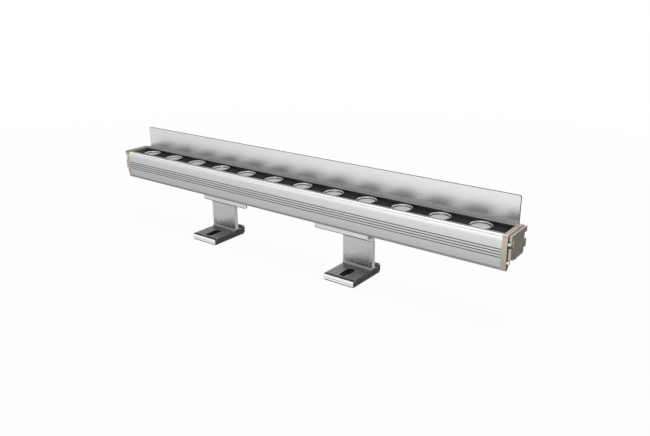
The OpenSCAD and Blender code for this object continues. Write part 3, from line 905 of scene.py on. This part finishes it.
@dataclass
class HousingExtrusion(SubAssembly):
    """The extruded housing: its long edges are broken as a drawn profile's are."""

    long_edge: Rounding = Rounding(0.18 * MM)
    hair: float = 0.01 * MM
    groove_start: float = 12.8 * MM
    groove_pitch: float = 2.5 * MM
    groove_count: int = 4
    groove_width: float = 0.8 * MM
    groove_depth: float = 0.9 * MM
    nose_height: float = 2.5 * MM
    nose_reach: float = 2.6 * MM
    ease_height: float = 5.0 * MM
    ease_reach: float = 0.45 * MM
    ease_rows: int = 6
    front_reach: float = 1.9 * MM
    corner_reach: float = 2.2 * MM
    corner_drop: float = 2.0 * MM
    corner_lean: tuple[float, float] = (0.12, 0.9)
    lip_start: float = 1.4 * MM
    lip_drop: float = 1.0 * MM
    lip_width: float = 3.2 * MM
    lip_overhang: float = 2.1 * MM
    lip_thick: float = 0.9 * MM
    tick_reach: float = 3.0 * MM
    ledge_width: float = 7.4 * MM
    ledge_drop: float = 2.3 * MM

    def ease_top(self, piece: Piece) -> None:
        """Leans the top of the front face back a little, so that light rolls over the edge.

        Args:
            piece: The housing.
        """
        low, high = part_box("housing")
        for i in range(1, self.ease_rows + 1):
            split_at(piece, 2, high.z - self.ease_height * i / self.ease_rows)
        foot = high.z - self.ease_height + self.hair
        reach = low.y + self.front_reach
        front = [vert.co for vert in piece.data.vertices if vert.co.y < reach]
        heights = {round(place.z, ROW_DIGITS) for place in front if place.z > foot}
        for height in sorted(heights):
            select_parts(
                piece,
                Part.VERTS,
                lambda vert: vert.co.y < reach and round(vert.co.z, ROW_DIGITS) == height,
            )
            share = 1 - (high.z - height) / self.ease_height
            bpy.ops.transform.translate(value=(0, self.ease_reach * share * share, 0))
            leave_edit()

    def overhang_lip(self, piece: Piece) -> None:
        """Draws the top of the front lip back over the rims of the lenses.

        Args:
            piece: The housing.
        """
        low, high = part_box("housing")
        foot = high.z - self.lip_thick
        split_at(piece, 2, foot)
        wall = low.y + self.lip_width
        select_parts(
            piece,
            Part.FACES,
            lambda face: face.normal.y > FACING
            and face.calc_center_median().z > foot
            and abs(face.calc_center_median().y - wall) < NEAR,
        )
        bpy.ops.mesh.extrude_region_move(
            TRANSFORM_OT_translate={"value": (0, self.lip_overhang, 0)}
        )
        leave_edit()

    def build(self) -> None:
        """Builds the housing from its solid, with every long edge rounded."""
        low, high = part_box("housing")
        left = low.x + self.tick_reach
        piece = self.copy_of("housing", "housing_extrusion")
        self.ease_top(piece)
        self.overhang_lip(piece)
        split_at(piece, 0, left)
        round_edges(piece, self.long_edge, lambda edge: along_x(edge, LONG_RUN))
        smooth(piece)
        self.hand_in(piece, "housing", "anodised_housing")
        self.dress(piece, low, high, left)

    def dress(self, piece: Piece, low: Vector, high: Vector, left: float) -> None:
        """Paints shade into the grooves and onto the lip, ledge and foot of the profile, and a
        highlight onto its top corner.

        Args:
            piece: The housing.
            low: Lower corner of its node.
            high: Upper corner of its node.
            left: Where the ticks of painted shade at the left end of the grooves stop.
        """
        reach = self.groove_width / 2 + MARGIN
        floor = low.y + self.groove_depth + MARGIN
        top = high.z - self.groove_start
        middles = [top - i * self.groove_pitch for i in range(self.groove_count)]
        lip_end = low.y + self.lip_width + self.lip_overhang + NEAR
        corner = low.y + self.corner_reach
        least, most = self.corner_lean
        ledge = high.y - self.ledge_width - MARGIN
        step = low.z + self.nose_height + MARGIN

        def in_groove(at: Vector, first: int) -> bool:
            """Says whether a face lies in a groove, counted down from the first given one."""
            return at.y < floor and any(abs(at.z - z) < reach for z in middles[first:])

        self.zone(
            piece,
            # Painted shade in the grooves.
            ("groove_shade", lambda at, way: in_groove(at, 0)),
            # Painted shade on the front lip.
            (
                "lip_shade",
                lambda at, way: at.z > high.z - self.lip_drop
                and low.y + self.lip_start < at.y < lip_end,
            ),
            # Painted highlight on the rounded top front corner.
            (
                "milled_edge",
                lambda at, way: at.y < corner
                and at.z > high.z - self.corner_drop
                and least < way.z < most,
            ),
            # Painted shade on the ledge in front of the glare shield.
            ("ledge_shade", lambda at, way: at.z > high.z - self.ledge_drop and at.y > ledge),
            # Painted shade: dark ticks at the left end of the lower grooves.
            ("slot_wall", lambda at, way: at.x < left and in_groove(at, 1)),
            ("nose_shade", lambda at, way: at.z < step and at.y < low.y + self.nose_reach),
        )


@dataclass
class GlareShield(SubAssembly):
    """The flat sheet along the rear edge, with broken edges, and its countersunk screws."""

    edge: Rounding = Rounding(0.3 * MM, least_angle=60.0, steps=3)
    least_edge: float = 3 * MM
    edge_lean: float = 0.4
    screw: CrossScrew = CrossScrew(
        head_radius=2.8 * MM,
        head_top=0.0,
        head_foot=-1.5 * MM,
        rim=((0.05 * MM, -0.1 * MM), (0.05 * MM, -0.04 * MM), (0.15 * MM, 0.0)),
        shank_radius=1.44 * MM,
        length=6.6 * MM,
        tip=0.5 * MM,
        recess_reach=1.5 * MM,
        recess_depth=0.8 * MM,
    )
    screw_count: int = 5
    end_margin: float = 32 * MM
    drop: float = 3.6 * MM

    def build(self) -> None:
        """Builds the sheet and its screws."""
        piece = self.copy_of("glare_shield", "glare_shield_sheet")
        round_edges(piece, self.edge, longer_than(self.least_edge))
        smooth(piece)
        self.hand_in(piece, "glare_shield", "shield_sheet")
        # Painted shade: the sheet's edges and ends drawn dark.
        self.zone(piece, ("sheared_edge", lambda at, way: abs(way.y) < self.edge_lean))
        low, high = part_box("glare_shield")
        first = low.x + self.end_margin
        pitch = (high.x - low.x - 2 * self.end_margin) / (self.screw_count - 1)
        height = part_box("housing")[1].z - self.drop
        places = [Vector((first + i * pitch, high.y, height)) for i in range(self.screw_count)]
        model = self.screw.build("shield_screw_model")
        self.screw_row(model, "glare_shield_screws", "shield_screws", places, Axis.REAR)
        bpy.data.objects.remove(model)


@dataclass
class LensRow(SubAssembly):
    """The black strip and the twelve clear optics in it."""

    panel_edge: Rounding = Rounding(0.15 * MM)
    rim_height: float = 1.2 * MM
    rim_roll: float = 0.35 * MM
    roll_steps: int = 4
    rim_radius: float = 10.35 * MM
    wall_radius: float = 9.3 * MM
    wall_foot: float = 0.05 * MM
    moat_radius: float = 8.75 * MM
    moat_drop: float = 1.0 * MM
    moat_draft: float = 0.1 * MM
    skirt_radius: float = 9.55 * MM
    knee_radius: float = 7.1 * MM
    knee_drop: float = 5.1 * MM
    foot_radius: float = 3.6 * MM
    well_radius: float = 2.7 * MM
    well_depth: float = 3.0 * MM
    face_radius: float = 8.45 * MM
    face_drop: float = 0.45 * MM
    face_dome: float = 0.5 * MM
    face_edge: tuple[float, float] = (0.15 * MM, 0.2 * MM)
    face_band: float = 1 * MM
    dome_steps: int = 8
    sides: int = 72
    smooth_angle: float = 30.0
    count: int = 12

    def optic(self, foot: float, seat: float) -> Turned:
        """The outline of one optic: LED well, foot, reflector wall, rim, moat and domed face.

        Args:
            foot: Height of its foot.
            seat: Height of the panel's face, on which its rim stands.

        Returns:
            The turned piece.
        """
        top = seat + self.rim_height
        roll = self.rim_roll
        lip = self.wall_radius + roll
        face = seat - self.face_drop
        edge_out, edge_down = self.face_edge
        steps: Outline = [
            (self.well_radius, foot + self.well_depth),
            (self.well_radius, foot),
            (self.foot_radius, foot),
            (self.knee_radius, seat - self.knee_drop),
            (self.skirt_radius, seat),
            (self.rim_radius, seat),
        ]
        steps += arc((self.rim_radius - roll, top - roll), roll, 0, 90, self.roll_steps)
        steps += arc((lip, top - roll), roll, 90, 180, self.roll_steps)
        steps += [
            (self.wall_radius, seat + self.wall_foot),
            (self.wall_radius - self.moat_draft, seat - self.moat_drop),
            (self.moat_radius, seat - self.moat_drop),
            (self.face_radius + edge_out, face - edge_down),
            (self.face_radius, face),
        ]
        for i in range(1, self.dome_steps + 1):
            turn = i / self.dome_steps * math.pi / 2
            radius = self.face_radius * math.cos(turn)
            steps.append((radius, face + self.face_dome * math.sin(turn)))
        steps[-1] = (0.0, steps[-1][1])
        return Turned(steps, self.sides)

    def build(self) -> None:
        """Builds the strip and one optic, and copies the optic to its twelve places."""
        panel = self.copy_of("lens_panel", "lens_panel_strip")
        round_edges(panel, self.panel_edge, lambda edge: along_x(edge, LONG_RUN))
        smooth(panel)
        self.hand_in(panel, "lens_panel", "black_panel")
        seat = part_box("lens_panel")[1].z
        model = self.optic(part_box("lens_1")[0].z, seat).build("optic_model")
        smooth(model, self.smooth_angle)
        for index in range(1, self.count + 1):
            low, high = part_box(f"lens_{index}")
            middle = (low + high) / 2
            lens = placed_copy(model, f"lens_optic_{index}", Vector((middle.x, middle.y, 0)))
            self.hand_in(lens, f"lens_{index}", "lens_clear")
            self.dress(lens, middle, seat)
        bpy.data.objects.remove(model)

    def dress(self, lens: Piece, middle: Vector, seat: float) -> None:
        """Gives an optic its textured face, and a painted highlight on the inner edge of its rim.

        Args:
            lens: The optic.
            middle: The middle of its node.
            seat: Height of the panel's face.
        """
        face_reach = self.face_radius + NEAR
        lip = self.wall_radius + self.rim_roll

        def off_axis(at: Vector) -> float:
            """Distance of a place from the optic's axis."""
            return (at.xy - middle.xy).length

        self.zone(
            lens,
            (
                "lens_face",
                lambda at, way: abs(at.z - seat) < self.face_band and off_axis(at) < face_reach,
            ),
            # Painted highlight on the rim's inner edge.
            ("lens_edge", lambda at, way: at.z > seat and face_reach < off_axis(at) < lip),
        )


@dataclass
class EndCaps(SubAssembly):
    """The cast caps with softened edges, and their pan head screws."""

    edge: Rounding = Rounding(0.2 * MM, least_angle=40.0, steps=3)
    least_edge: float = 0.8 * MM
    smooth_angle: float = 40.0
    screw: CrossScrew = CrossScrew(
        head_radius=2.4 * MM,
        head_top=2.2 * MM,
        head_foot=0.0,
        rim=(
            (0.2 * MM, 0.0), (0.0, 0.2 * MM), (0.0, 0.9 * MM), (0.06 * MM, 1.25 * MM),
            (0.25 * MM, 1.58 * MM), (0.6 * MM, 1.85 * MM), (1.1 * MM, 2.05 * MM),
            (1.7 * MM, 2.16 * MM),
        ),
        shank_radius=1.14 * MM,
        length=14 * MM,
        tip=0.6 * MM,
        recess_reach=1.35 * MM,
        recess_depth=1.2 * MM,
    )
    flange: float = 4.8 * MM
    gap: float = 0.9 * MM
    gap_depth: float = 1.9 * MM
    notch_reach: float = 6 * MM
    front_row: float = 2.9 * MM
    rear_row: float = 30.7 * MM
    upper_drop: float = 8.0 * MM
    front_lower_drop: float = 24.3 * MM
    rear_lower_drop: float = 21.6 * MM

    def build(self) -> None:
        """Builds both caps and their screws."""
        model = self.screw.build("cap_screw_model")
        low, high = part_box("housing")
        rows = (
            (self.front_row, self.upper_drop),
            (self.front_row, self.front_lower_drop),
            (self.rear_row, self.upper_drop),
            (self.rear_row, self.rear_lower_drop),
        )
        for side, sign, axis in (("left", -1, Axis.LEFT), ("right", 1, Axis.RIGHT)):
            cap = f"end_cap_{side}"
            piece = self.copy_of(cap, f"{cap}_casting")
            split_at(piece, 2, high.z - self.gap_depth)
            split_at(piece, 1, low.y + self.notch_reach)
            round_edges(piece, self.edge, longer_than(self.least_edge))
            smooth(piece, self.smooth_angle)
            self.hand_in(piece, cap, "cap_paint")
            self.dress(piece, sign, low, high)
            seat = sign * (high.x + self.flange)
            places = [Vector((seat, low.y + depth, high.z - drop)) for depth, drop in rows]
            self.screw_row(model, f"{cap}_screws", f"cap_screws_{side}", places, axis)
        bpy.data.objects.remove(model)

    def dress(self, piece: Piece, sign: int, low: Vector, high: Vector) -> None:
        """Paints shade onto the cap's outer face, and into the gap and notches behind it.

        Args:
            piece: The cap.
            sign: Which way it looks along X.
            low: Lower corner of the housing.
            high: Upper corner of the housing.
        """
        inner = high.x + self.flange + MARGIN
        outer = inner + self.gap
        notch = low.y + self.notch_reach
        rim = high.z - self.gap_depth
        self.zone(
            piece,
            # Painted shade in the gap between flange and outer block.
            ("cap_gap", lambda at, way: inner < abs(at.x) < outer and sign * way.x < LEANING),
            # Painted shade on the cap's outer face.
            ("cap_face", lambda at, way: sign * way.x > FACING and abs(at.x) > outer),
            # Painted shade on the flange's outer face, at the top and in the screw notches.
            (
                "cap_gap",
                lambda at, way: abs(abs(at.x) - inner) < NEAR
                and sign * way.x > FACING
                and (at.z > rim or at.y < notch),
            ),
        )


@dataclass
class MountingFeet(SubAssembly):
    """The two feet and the rail clips that hold them."""

    foot_edge: Rounding = Rounding(0.25 * MM, least_angle=40.0)
    clip_edge: Rounding = Rounding(0.2 * MM, least_angle=40.0)
    clip_chamfer: Rounding = Rounding(0.9 * MM, least_angle=40.0, steps=3)
    least_edge: float = 0.5 * MM
    chamfer_lean: float = 0.25
    side_lean: float = 0.5
    clip_width: float = 14 * MM
    clip_run: float = 20 * MM
    toe_depth: float = 1.5 * MM
    toe_shade: float = 3.6 * MM
    toe_turn: tuple[float, float] = (-0.25, 0.75)
    toe_lean: float = 0.05
    rib_lean: float = 0.2
    flat: float = 0.98
    plate_thick: float = 6.2 * MM
    plate_split: float = 7.7 * MM
    side_line: float = 1.2 * MM
    rib_groove: float = 0.62 * MM
    web_front: float = 32.5 * MM
    root_radius: float = 2.4 * MM
    slot_reach: float = 5 * MM
    slot_start: float = 4.5 * MM
    slot_end: float = 25.5 * MM
    axis_y: float = 1.8 * MM
    bead_height: float = 43.3 * MM
    bead_reach: float = 4.6 * MM

    def build(self) -> None:
        """Builds feet and clips."""
        for side in ("left", "right"):
            self.foot(side)
            self.clip(side)

    def foot(self, side: str) -> None:
        """Builds one foot: tumbled all over, with a painted highlight at its toe and painted shade
        and painted light on both ends.

        Args:
            side: Which foot, left or right.
        """
        low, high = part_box(f"foot_{side}")
        piece = self.copy_of(f"foot_{side}", f"foot_{side}_bracket")
        split_at(piece, 2, low.z + self.plate_split)
        split_at(piece, 1, low.y + self.toe_shade)
        split_at(piece, 2, low.z + self.plate_thick - self.side_line)
        round_edges(piece, self.foot_edge, longer_than(self.least_edge))
        smooth(piece)
        self.hand_in(piece, f"foot_{side}", "foot_aluminium")
        self.zone(piece, *self.foot_zones(low, (low.x + high.x) / 2))

    def foot_zones(self, low: Vector, middle: float) -> tuple[tuple[str, Rule], ...]:
        """The finishes of a foot, where they differ from the tumbled one: painted shade, painted
        light and painted highlights.

        Args:
            low: Lower corner of its node.
            middle: Its middle along X.

        Returns:
            Each finish with the rule that picks its faces.
        """
        plate = low.z + self.plate_thick
        line = plate - self.side_line
        split = low.z + self.plate_split
        front = low.y + self.toe_depth
        web = low.y + self.web_front
        rib = low.z + self.plate_thick / 2
        under, over = self.toe_turn

        def on_top(at: Vector, way: Vector) -> bool:
            """Says whether a face is part of the plate's top."""
            return way.z > FACING and abs(at.z - plate) < NEAR

        def in_corner(at: Vector, way: Vector) -> bool:
            """Says whether a face is part of the fillet between plate and web."""
            inside = 0 < at.z - plate < self.root_radius and 0 < web - at.y < self.root_radius
            return inside and abs(way.x) < self.side_lean

        def in_slot(at: Vector) -> bool:
            """Says whether a place lies in the slot for the anchor."""
            return (
                abs(at.x - middle) < self.slot_reach
                and low.y + self.slot_start < at.y < low.y + self.slot_end
            )

        return (
            # Painted shade on the plate's top.
            ("plate_top", on_top),
            # Painted shade along the front of the plate's top.
            ("sawn_end", lambda at, way: on_top(at, way) and at.y < low.y + self.toe_shade),
            # Painted shade in the fillet between plate and web.
            ("corner_fillet", in_corner),
            # Painted shade on the plate's ends.
            ("sawn_end", lambda at, way: abs(way.x) > FACING and at.z < split),
            ("nose_shade", lambda at, way: abs(way.x) > FACING and line < at.z < plate),
            # Painted light on the web's ends.
            ("web_end", lambda at, way: abs(way.x) > FACING and at.z > split),
            # Painted highlight on the toe's front face.
            (
                "milled_edge",
                lambda at, way: at.y < front
                and at.z < plate
                and way.y < -LEANING
                and abs(way.x) < self.side_lean,
            ),
            # Painted shade on the toe's upper and lower roundings.
            (
                "sawn_end",
                lambda at, way: at.y < front
                and at.z < plate + MARGIN
                and not under <= way.z <= over
                and way.y < -self.toe_lean,
            ),
            # Painted light in the toe's rib groove.
            (
                "web_end",
                lambda at, way: at.y < front
                and abs(at.z - rib) < self.rib_groove
                and abs(way.z) > self.rib_lean,
            ),
            # Painted highlight round the rim of the slot.
            ("milled_edge", lambda at, way: in_slot(at) and LEANING < way.z < self.flat),
            # Painted shade on the walls of the slot.
            ("slot_wall", lambda at, way: in_slot(at) and abs(way.z) < LEANING),
        )

    def clip(self, side: str) -> None:
        """Builds one clip: drawn outside, with a broken lower edge, painted shade in its hollow,
        on its rear ends and on its chamfer, and a painted highlight on its front ends.

        Args:
            side: Which clip, left or right.
        """
        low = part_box(f"rail_clip_{side}")[0]
        front = self.axis_y - self.clip_width / 2
        wall = self.axis_y - self.bead_reach
        axis = Vector((self.axis_y, self.bead_height))

        def lower_edge(edge: Edge) -> bool:
            """Says whether an edge runs along the foot of the clip's front or rear."""
            return along_x(edge, self.clip_run) and all(
                vert.co.z < low.z + NEAR
                and abs(abs(vert.co.y - self.axis_y) - self.clip_width / 2) < NEAR
                for vert in edge.verts
            )

        piece = self.copy_of(f"rail_clip_{side}", f"rail_clip_{side}_profile")
        round_edges(piece, self.clip_chamfer, lower_edge)
        split_at(piece, 1, wall)
        round_edges(piece, self.clip_edge, longer_than(self.least_edge))
        smooth(piece)
        self.hand_in(piece, f"rail_clip_{side}", "clip_aluminium")
        chamfer = self.clip_chamfer.width
        self.zone(
            piece,
            # Painted shade on the chamfer of the clip's front lower edge.
            (
                "sawn_end",
                lambda at, way: at.z < low.z + chamfer
                and at.y < front + chamfer
                and way.z < -self.chamfer_lean,
            ),
            # Painted highlight on the front part of the clip's ends.
            ("milled_edge", lambda at, way: abs(way.x) > FACING and at.y < wall),
            # Painted shade on the rear part of the clip's ends, and in its hollow.
            ("slot_wall", lambda at, way: abs(way.x) > FACING and at.y > wall),
            (
                "slot_wall",
                lambda at, way: abs(way.x) < FACING and (at.yz - axis).length < self.bead_reach,
            ),
        )


@dataclass
class CarriedOver(SubAssembly):
    """The CAD nodes that keep their own mesh and only get their finish."""

    slots: dict[str, str] = field(
        default_factory=lambda: {
            "board_screws": "stainless_screw",
            "lens_holder": "holder_black",
            "led_board": "white_board",
            "led_packages": "phosphor",
            "current_regulators": "chip_black",
            "input_terminal": "terminal_ivory",
            "thermal_pad": "pad",
            "potting_resin": "resin",
            "end_gasket": "seal_rubber",
            "gland_seal": "seal_rubber",
            "gland_body": "gland_black",
            "gland_cap": "gland_black",
            "clip_lock_screws": "black_screw",
            "tilt_lock_screws": "black_screw",
        }
    )

    def build(self) -> None:
        """Gives each remaining node its finish."""
        for name, node in self.frame["nodes"].items():
            for start, slot in self.slots.items():
                if name.startswith(start):
                    node.data.materials.clear()
                    node.data.materials.append(self.materials[slot])
                    log.info("%s: own mesh, finish %s", name, slot)


# Studio


@dataclass
class Studio:
    """Floor, world, lamps and camera. Nothing here is part of the light."""

    image_width: int = 650
    focal_pixels: float = 679.35
    sensor_width: float = 36.0
    clip_start: float = 10 * MM
    place: Place = (0.4413, -0.51021, 0.28089)
    azimuth: float = 37.458
    pitch: float = 19.848
    roll: float = -0.714
    lamps_aim: Place = (0.0, 0.0, 0.06)
    floor_size: float = 3.2
    floor_height: float = -0.3 * MM
    floor_shade: str = "EBEBEB"
    white_share: float = 0.93
    fill: float = 0.55
    paper_fade: Steps = (0.45, 1.1, 0.0, 1.0)
    hole_shade: Steps = (0.25, 0.45, 0.0, 1.0)
    hole_reach: float = 8 * MM
    hole_samples: int = 8
    front_rise: Steps = (-0.75, -0.05, 0.34, 1.07)
    front_glow: Steps = (-0.34, 0.02, 1.0, 1.32)
    front_fall: Steps = (0.08, 0.30, 1.0, 0.18)
    front_side: Steps = (-1.0, -0.40, 0.5, 1.0)
    back_rise: Steps = (-0.45, 0.35, 0.48, 0.66)
    back_side: Steps = (-0.85, -0.58, 0.22, 1.0)
    turn_back: Steps = (-0.20, 0.45, 0.0, 1.0)

    def camera(self) -> None:
        """Creates the camera where the photograph was taken from."""
        data = bpy.data.cameras.new("photo_camera")
        data.sensor_width = self.sensor_width
        data.lens = self.focal_pixels * self.sensor_width / self.image_width
        data.clip_start = self.clip_start
        camera = bpy.data.objects.new("photo_camera", data)
        bpy.context.scene.collection.objects.link(camera)
        a, p, r = (math.radians(v) for v in (self.azimuth, self.pitch, self.roll))
        back = Vector((math.sin(a) * math.cos(p), -math.cos(a) * math.cos(p), math.sin(p)))
        right = Vector((math.cos(a), math.sin(a), 0.0))
        up = back.cross(right)
        right, up = right * math.cos(r) + up * math.sin(r), up * math.cos(r) - right * math.sin(r)
        camera.matrix_world = Matrix.Translation(self.place) @ Matrix(
            ((right.x, up.x, back.x), (right.y, up.y, back.y), (right.z, up.z, back.z))
        ).to_4x4()
        bpy.context.scene.camera = camera

    def floor(self) -> None:
        """Lays a pale floor that reads white to the camera and keeps a soft shadow.

        Gloss does not see it: the metal shows the white sweep of the world instead.
        """
        bpy.ops.object.select_all(action="DESELECT")
        bpy.ops.mesh.primitive_plane_add(size=self.floor_size, location=(0, 0, self.floor_height))
        floor = bpy.context.active_object
        floor.name = floor.data.name = "studio_floor"
        material = bpy.data.materials.new("studio_floor_paper")
        material.use_nodes = True
        tree = material.node_tree
        tree.nodes.clear()
        path = add_node(tree, "ShaderNodeLightPath")
        share = maths(tree, "MAXIMUM", self.mirrored(tree, path), path.outputs["Is Camera Ray"])
        place = add_node(tree, "ShaderNodeTexCoord")
        reach = add_node(
            tree, "ShaderNodeVectorMath", {"operation": "LENGTH", 0: place.outputs["Object"]}
        )
        fade = ramp(tree, reach.outputs["Value"], self.paper_fade)
        # Painted shade: ambient occlusion dims the floor's white glow where it lies in a hole,
        # such as under the slot of a foot.
        settings = {"samples": self.hole_samples, "Distance": self.hole_reach}
        near = add_node(tree, "ShaderNodeAmbientOcclusion", settings)
        for value in (
            blend(tree, fade, self.white_share, 1.0),
            ramp(tree, near.outputs["AO"], self.hole_shade),
        ):
            share = maths(tree, "MULTIPLY", share, value)
        diffuse = add_node(tree, "ShaderNodeBsdfDiffuse", {"Color": linear_rgb(self.floor_shade)})
        white = {"Color": linear_rgb("FFFFFF"), "Strength": 1.0}
        glow = add_node(tree, "ShaderNodeEmission", white)
        shaders = {1: diffuse.outputs["BSDF"], 2: glow.outputs["Emission"]}
        both = add_node(tree, "ShaderNodeMixShader", {0: share, **shaders})
        add_node(tree, "ShaderNodeOutputMaterial", {"Surface": both.outputs["Shader"]})
        floor.data.materials.append(material)
        floor.visible_glossy = False
        floor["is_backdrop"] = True

    def mirrored(self, tree: Tree, path: Node) -> Socket:
        """One for what gloss and glass show, nought for the rest.

        Args:
            tree: The tree to add to.
            path: Its Light Path node.

        Returns:
            The value.
        """
        rays = (path.outputs["Is Glossy Ray"], path.outputs["Is Transmission Ray"])
        return maths(tree, "MAXIMUM", *rays)

    def world(self) -> None:
        """Makes the world a white sweep, as in a studio with a dark ceiling.

        The camera sees it white. Gloss and glass see it white in front and at the horizon, and
        greyer above, below and behind.
        """
        world = bpy.data.worlds.new("studio_world")
        bpy.context.scene.world = world
        world.use_nodes = True
        tree = world.node_tree
        tree.nodes.clear()
        path = add_node(tree, "ShaderNodeLightPath")
        place = add_node(tree, "ShaderNodeTexCoord")
        way = add_node(tree, "ShaderNodeSeparateXYZ", {"Vector": place.outputs["Generated"]})
        front = ramp(tree, way.outputs["Z"], self.front_rise, "LINEAR")
        shares = (("Z", self.front_glow), ("Z", self.front_fall), ("X", self.front_side))
        for axis, steps in shares:
            front = maths(tree, "MULTIPLY", front, ramp(tree, way.outputs[axis], steps))
        rise = ramp(tree, way.outputs["Z"], self.back_rise)
        back = maths(tree, "MULTIPLY", rise, ramp(tree, way.outputs["X"], self.back_side))
        sweep = blend(tree, ramp(tree, way.outputs["Y"], self.turn_back), front, back)
        unseen = blend(tree, self.mirrored(tree, path), self.fill, sweep)
        strength = blend(tree, path.outputs["Is Camera Ray"], unseen, 1.0)
        white = {"Color": linear_rgb("FFFFFF"), "Strength": strength}
        glow = add_node(tree, "ShaderNodeBackground", white)
        add_node(tree, "ShaderNodeOutputWorld", {"Surface": glow.outputs["Background"]})

    def lamp(
        self,
        name: str,
        place: Place,
        size: tuple[float, float],
        watts: float,
        glossy: bool = True,
    ) -> None:
        """Hangs a soft lamp that points at the light.

        Args:
            name: Its name.
            place: Where it hangs.
            size: Its width and height.
            watts: Its power.
            glossy: Whether metal mirrors it.
        """
        data = bpy.data.lights.new(name, "AREA")
        data.shape = "RECTANGLE"
        data.size, data.size_y = size
        data.energy = watts
        lamp = bpy.data.objects.new(name, data)
        bpy.context.scene.collection.objects.link(lamp)
        lamp.location = place
        aim = Vector(self.lamps_aim) - Vector(place)
        lamp.rotation_euler = aim.to_track_quat("-Z", "Y").to_euler()
        lamp.visible_camera = False
        lamp.visible_glossy = glossy

    def build(self) -> None:
        """Builds the whole studio."""
        self.camera()
        self.floor()
        self.world()
        self.lamp("front_right_lamp", (0.6, -1.5, 1.3), (1.4, 0.8), 8.0)
        self.lamp("top_lamp", (-0.2, 0.5, 1.5), (1.6, 1.0), 12.0)
        self.lamp("low_front_lamp", (0.2, -1.6, 0.3), (1.6, 0.4), 6.0, glossy=False)
        bpy.context.scene.view_settings.view_transform = "Standard"


def main(frame: dict[str, Any], cad_box: Any) -> None:
    """Builds the studio, then the light on its frame.
    """
    logging.basicConfig(level=logging.INFO, format="%(name)s: %(message)s")
    Studio().build()
    materials = {finish.slot: finish.make() for finish in FINISHES}
    for assembly in (HousingExtrusion, GlareShield, LensRow, EndCaps, MountingFeet, CarriedOver):
        log.info("building %s", assembly.__name__)
        assembly(frame, materials).build()


if __name__ == "__main__":
    scene_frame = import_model()
    main(scene_frame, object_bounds())
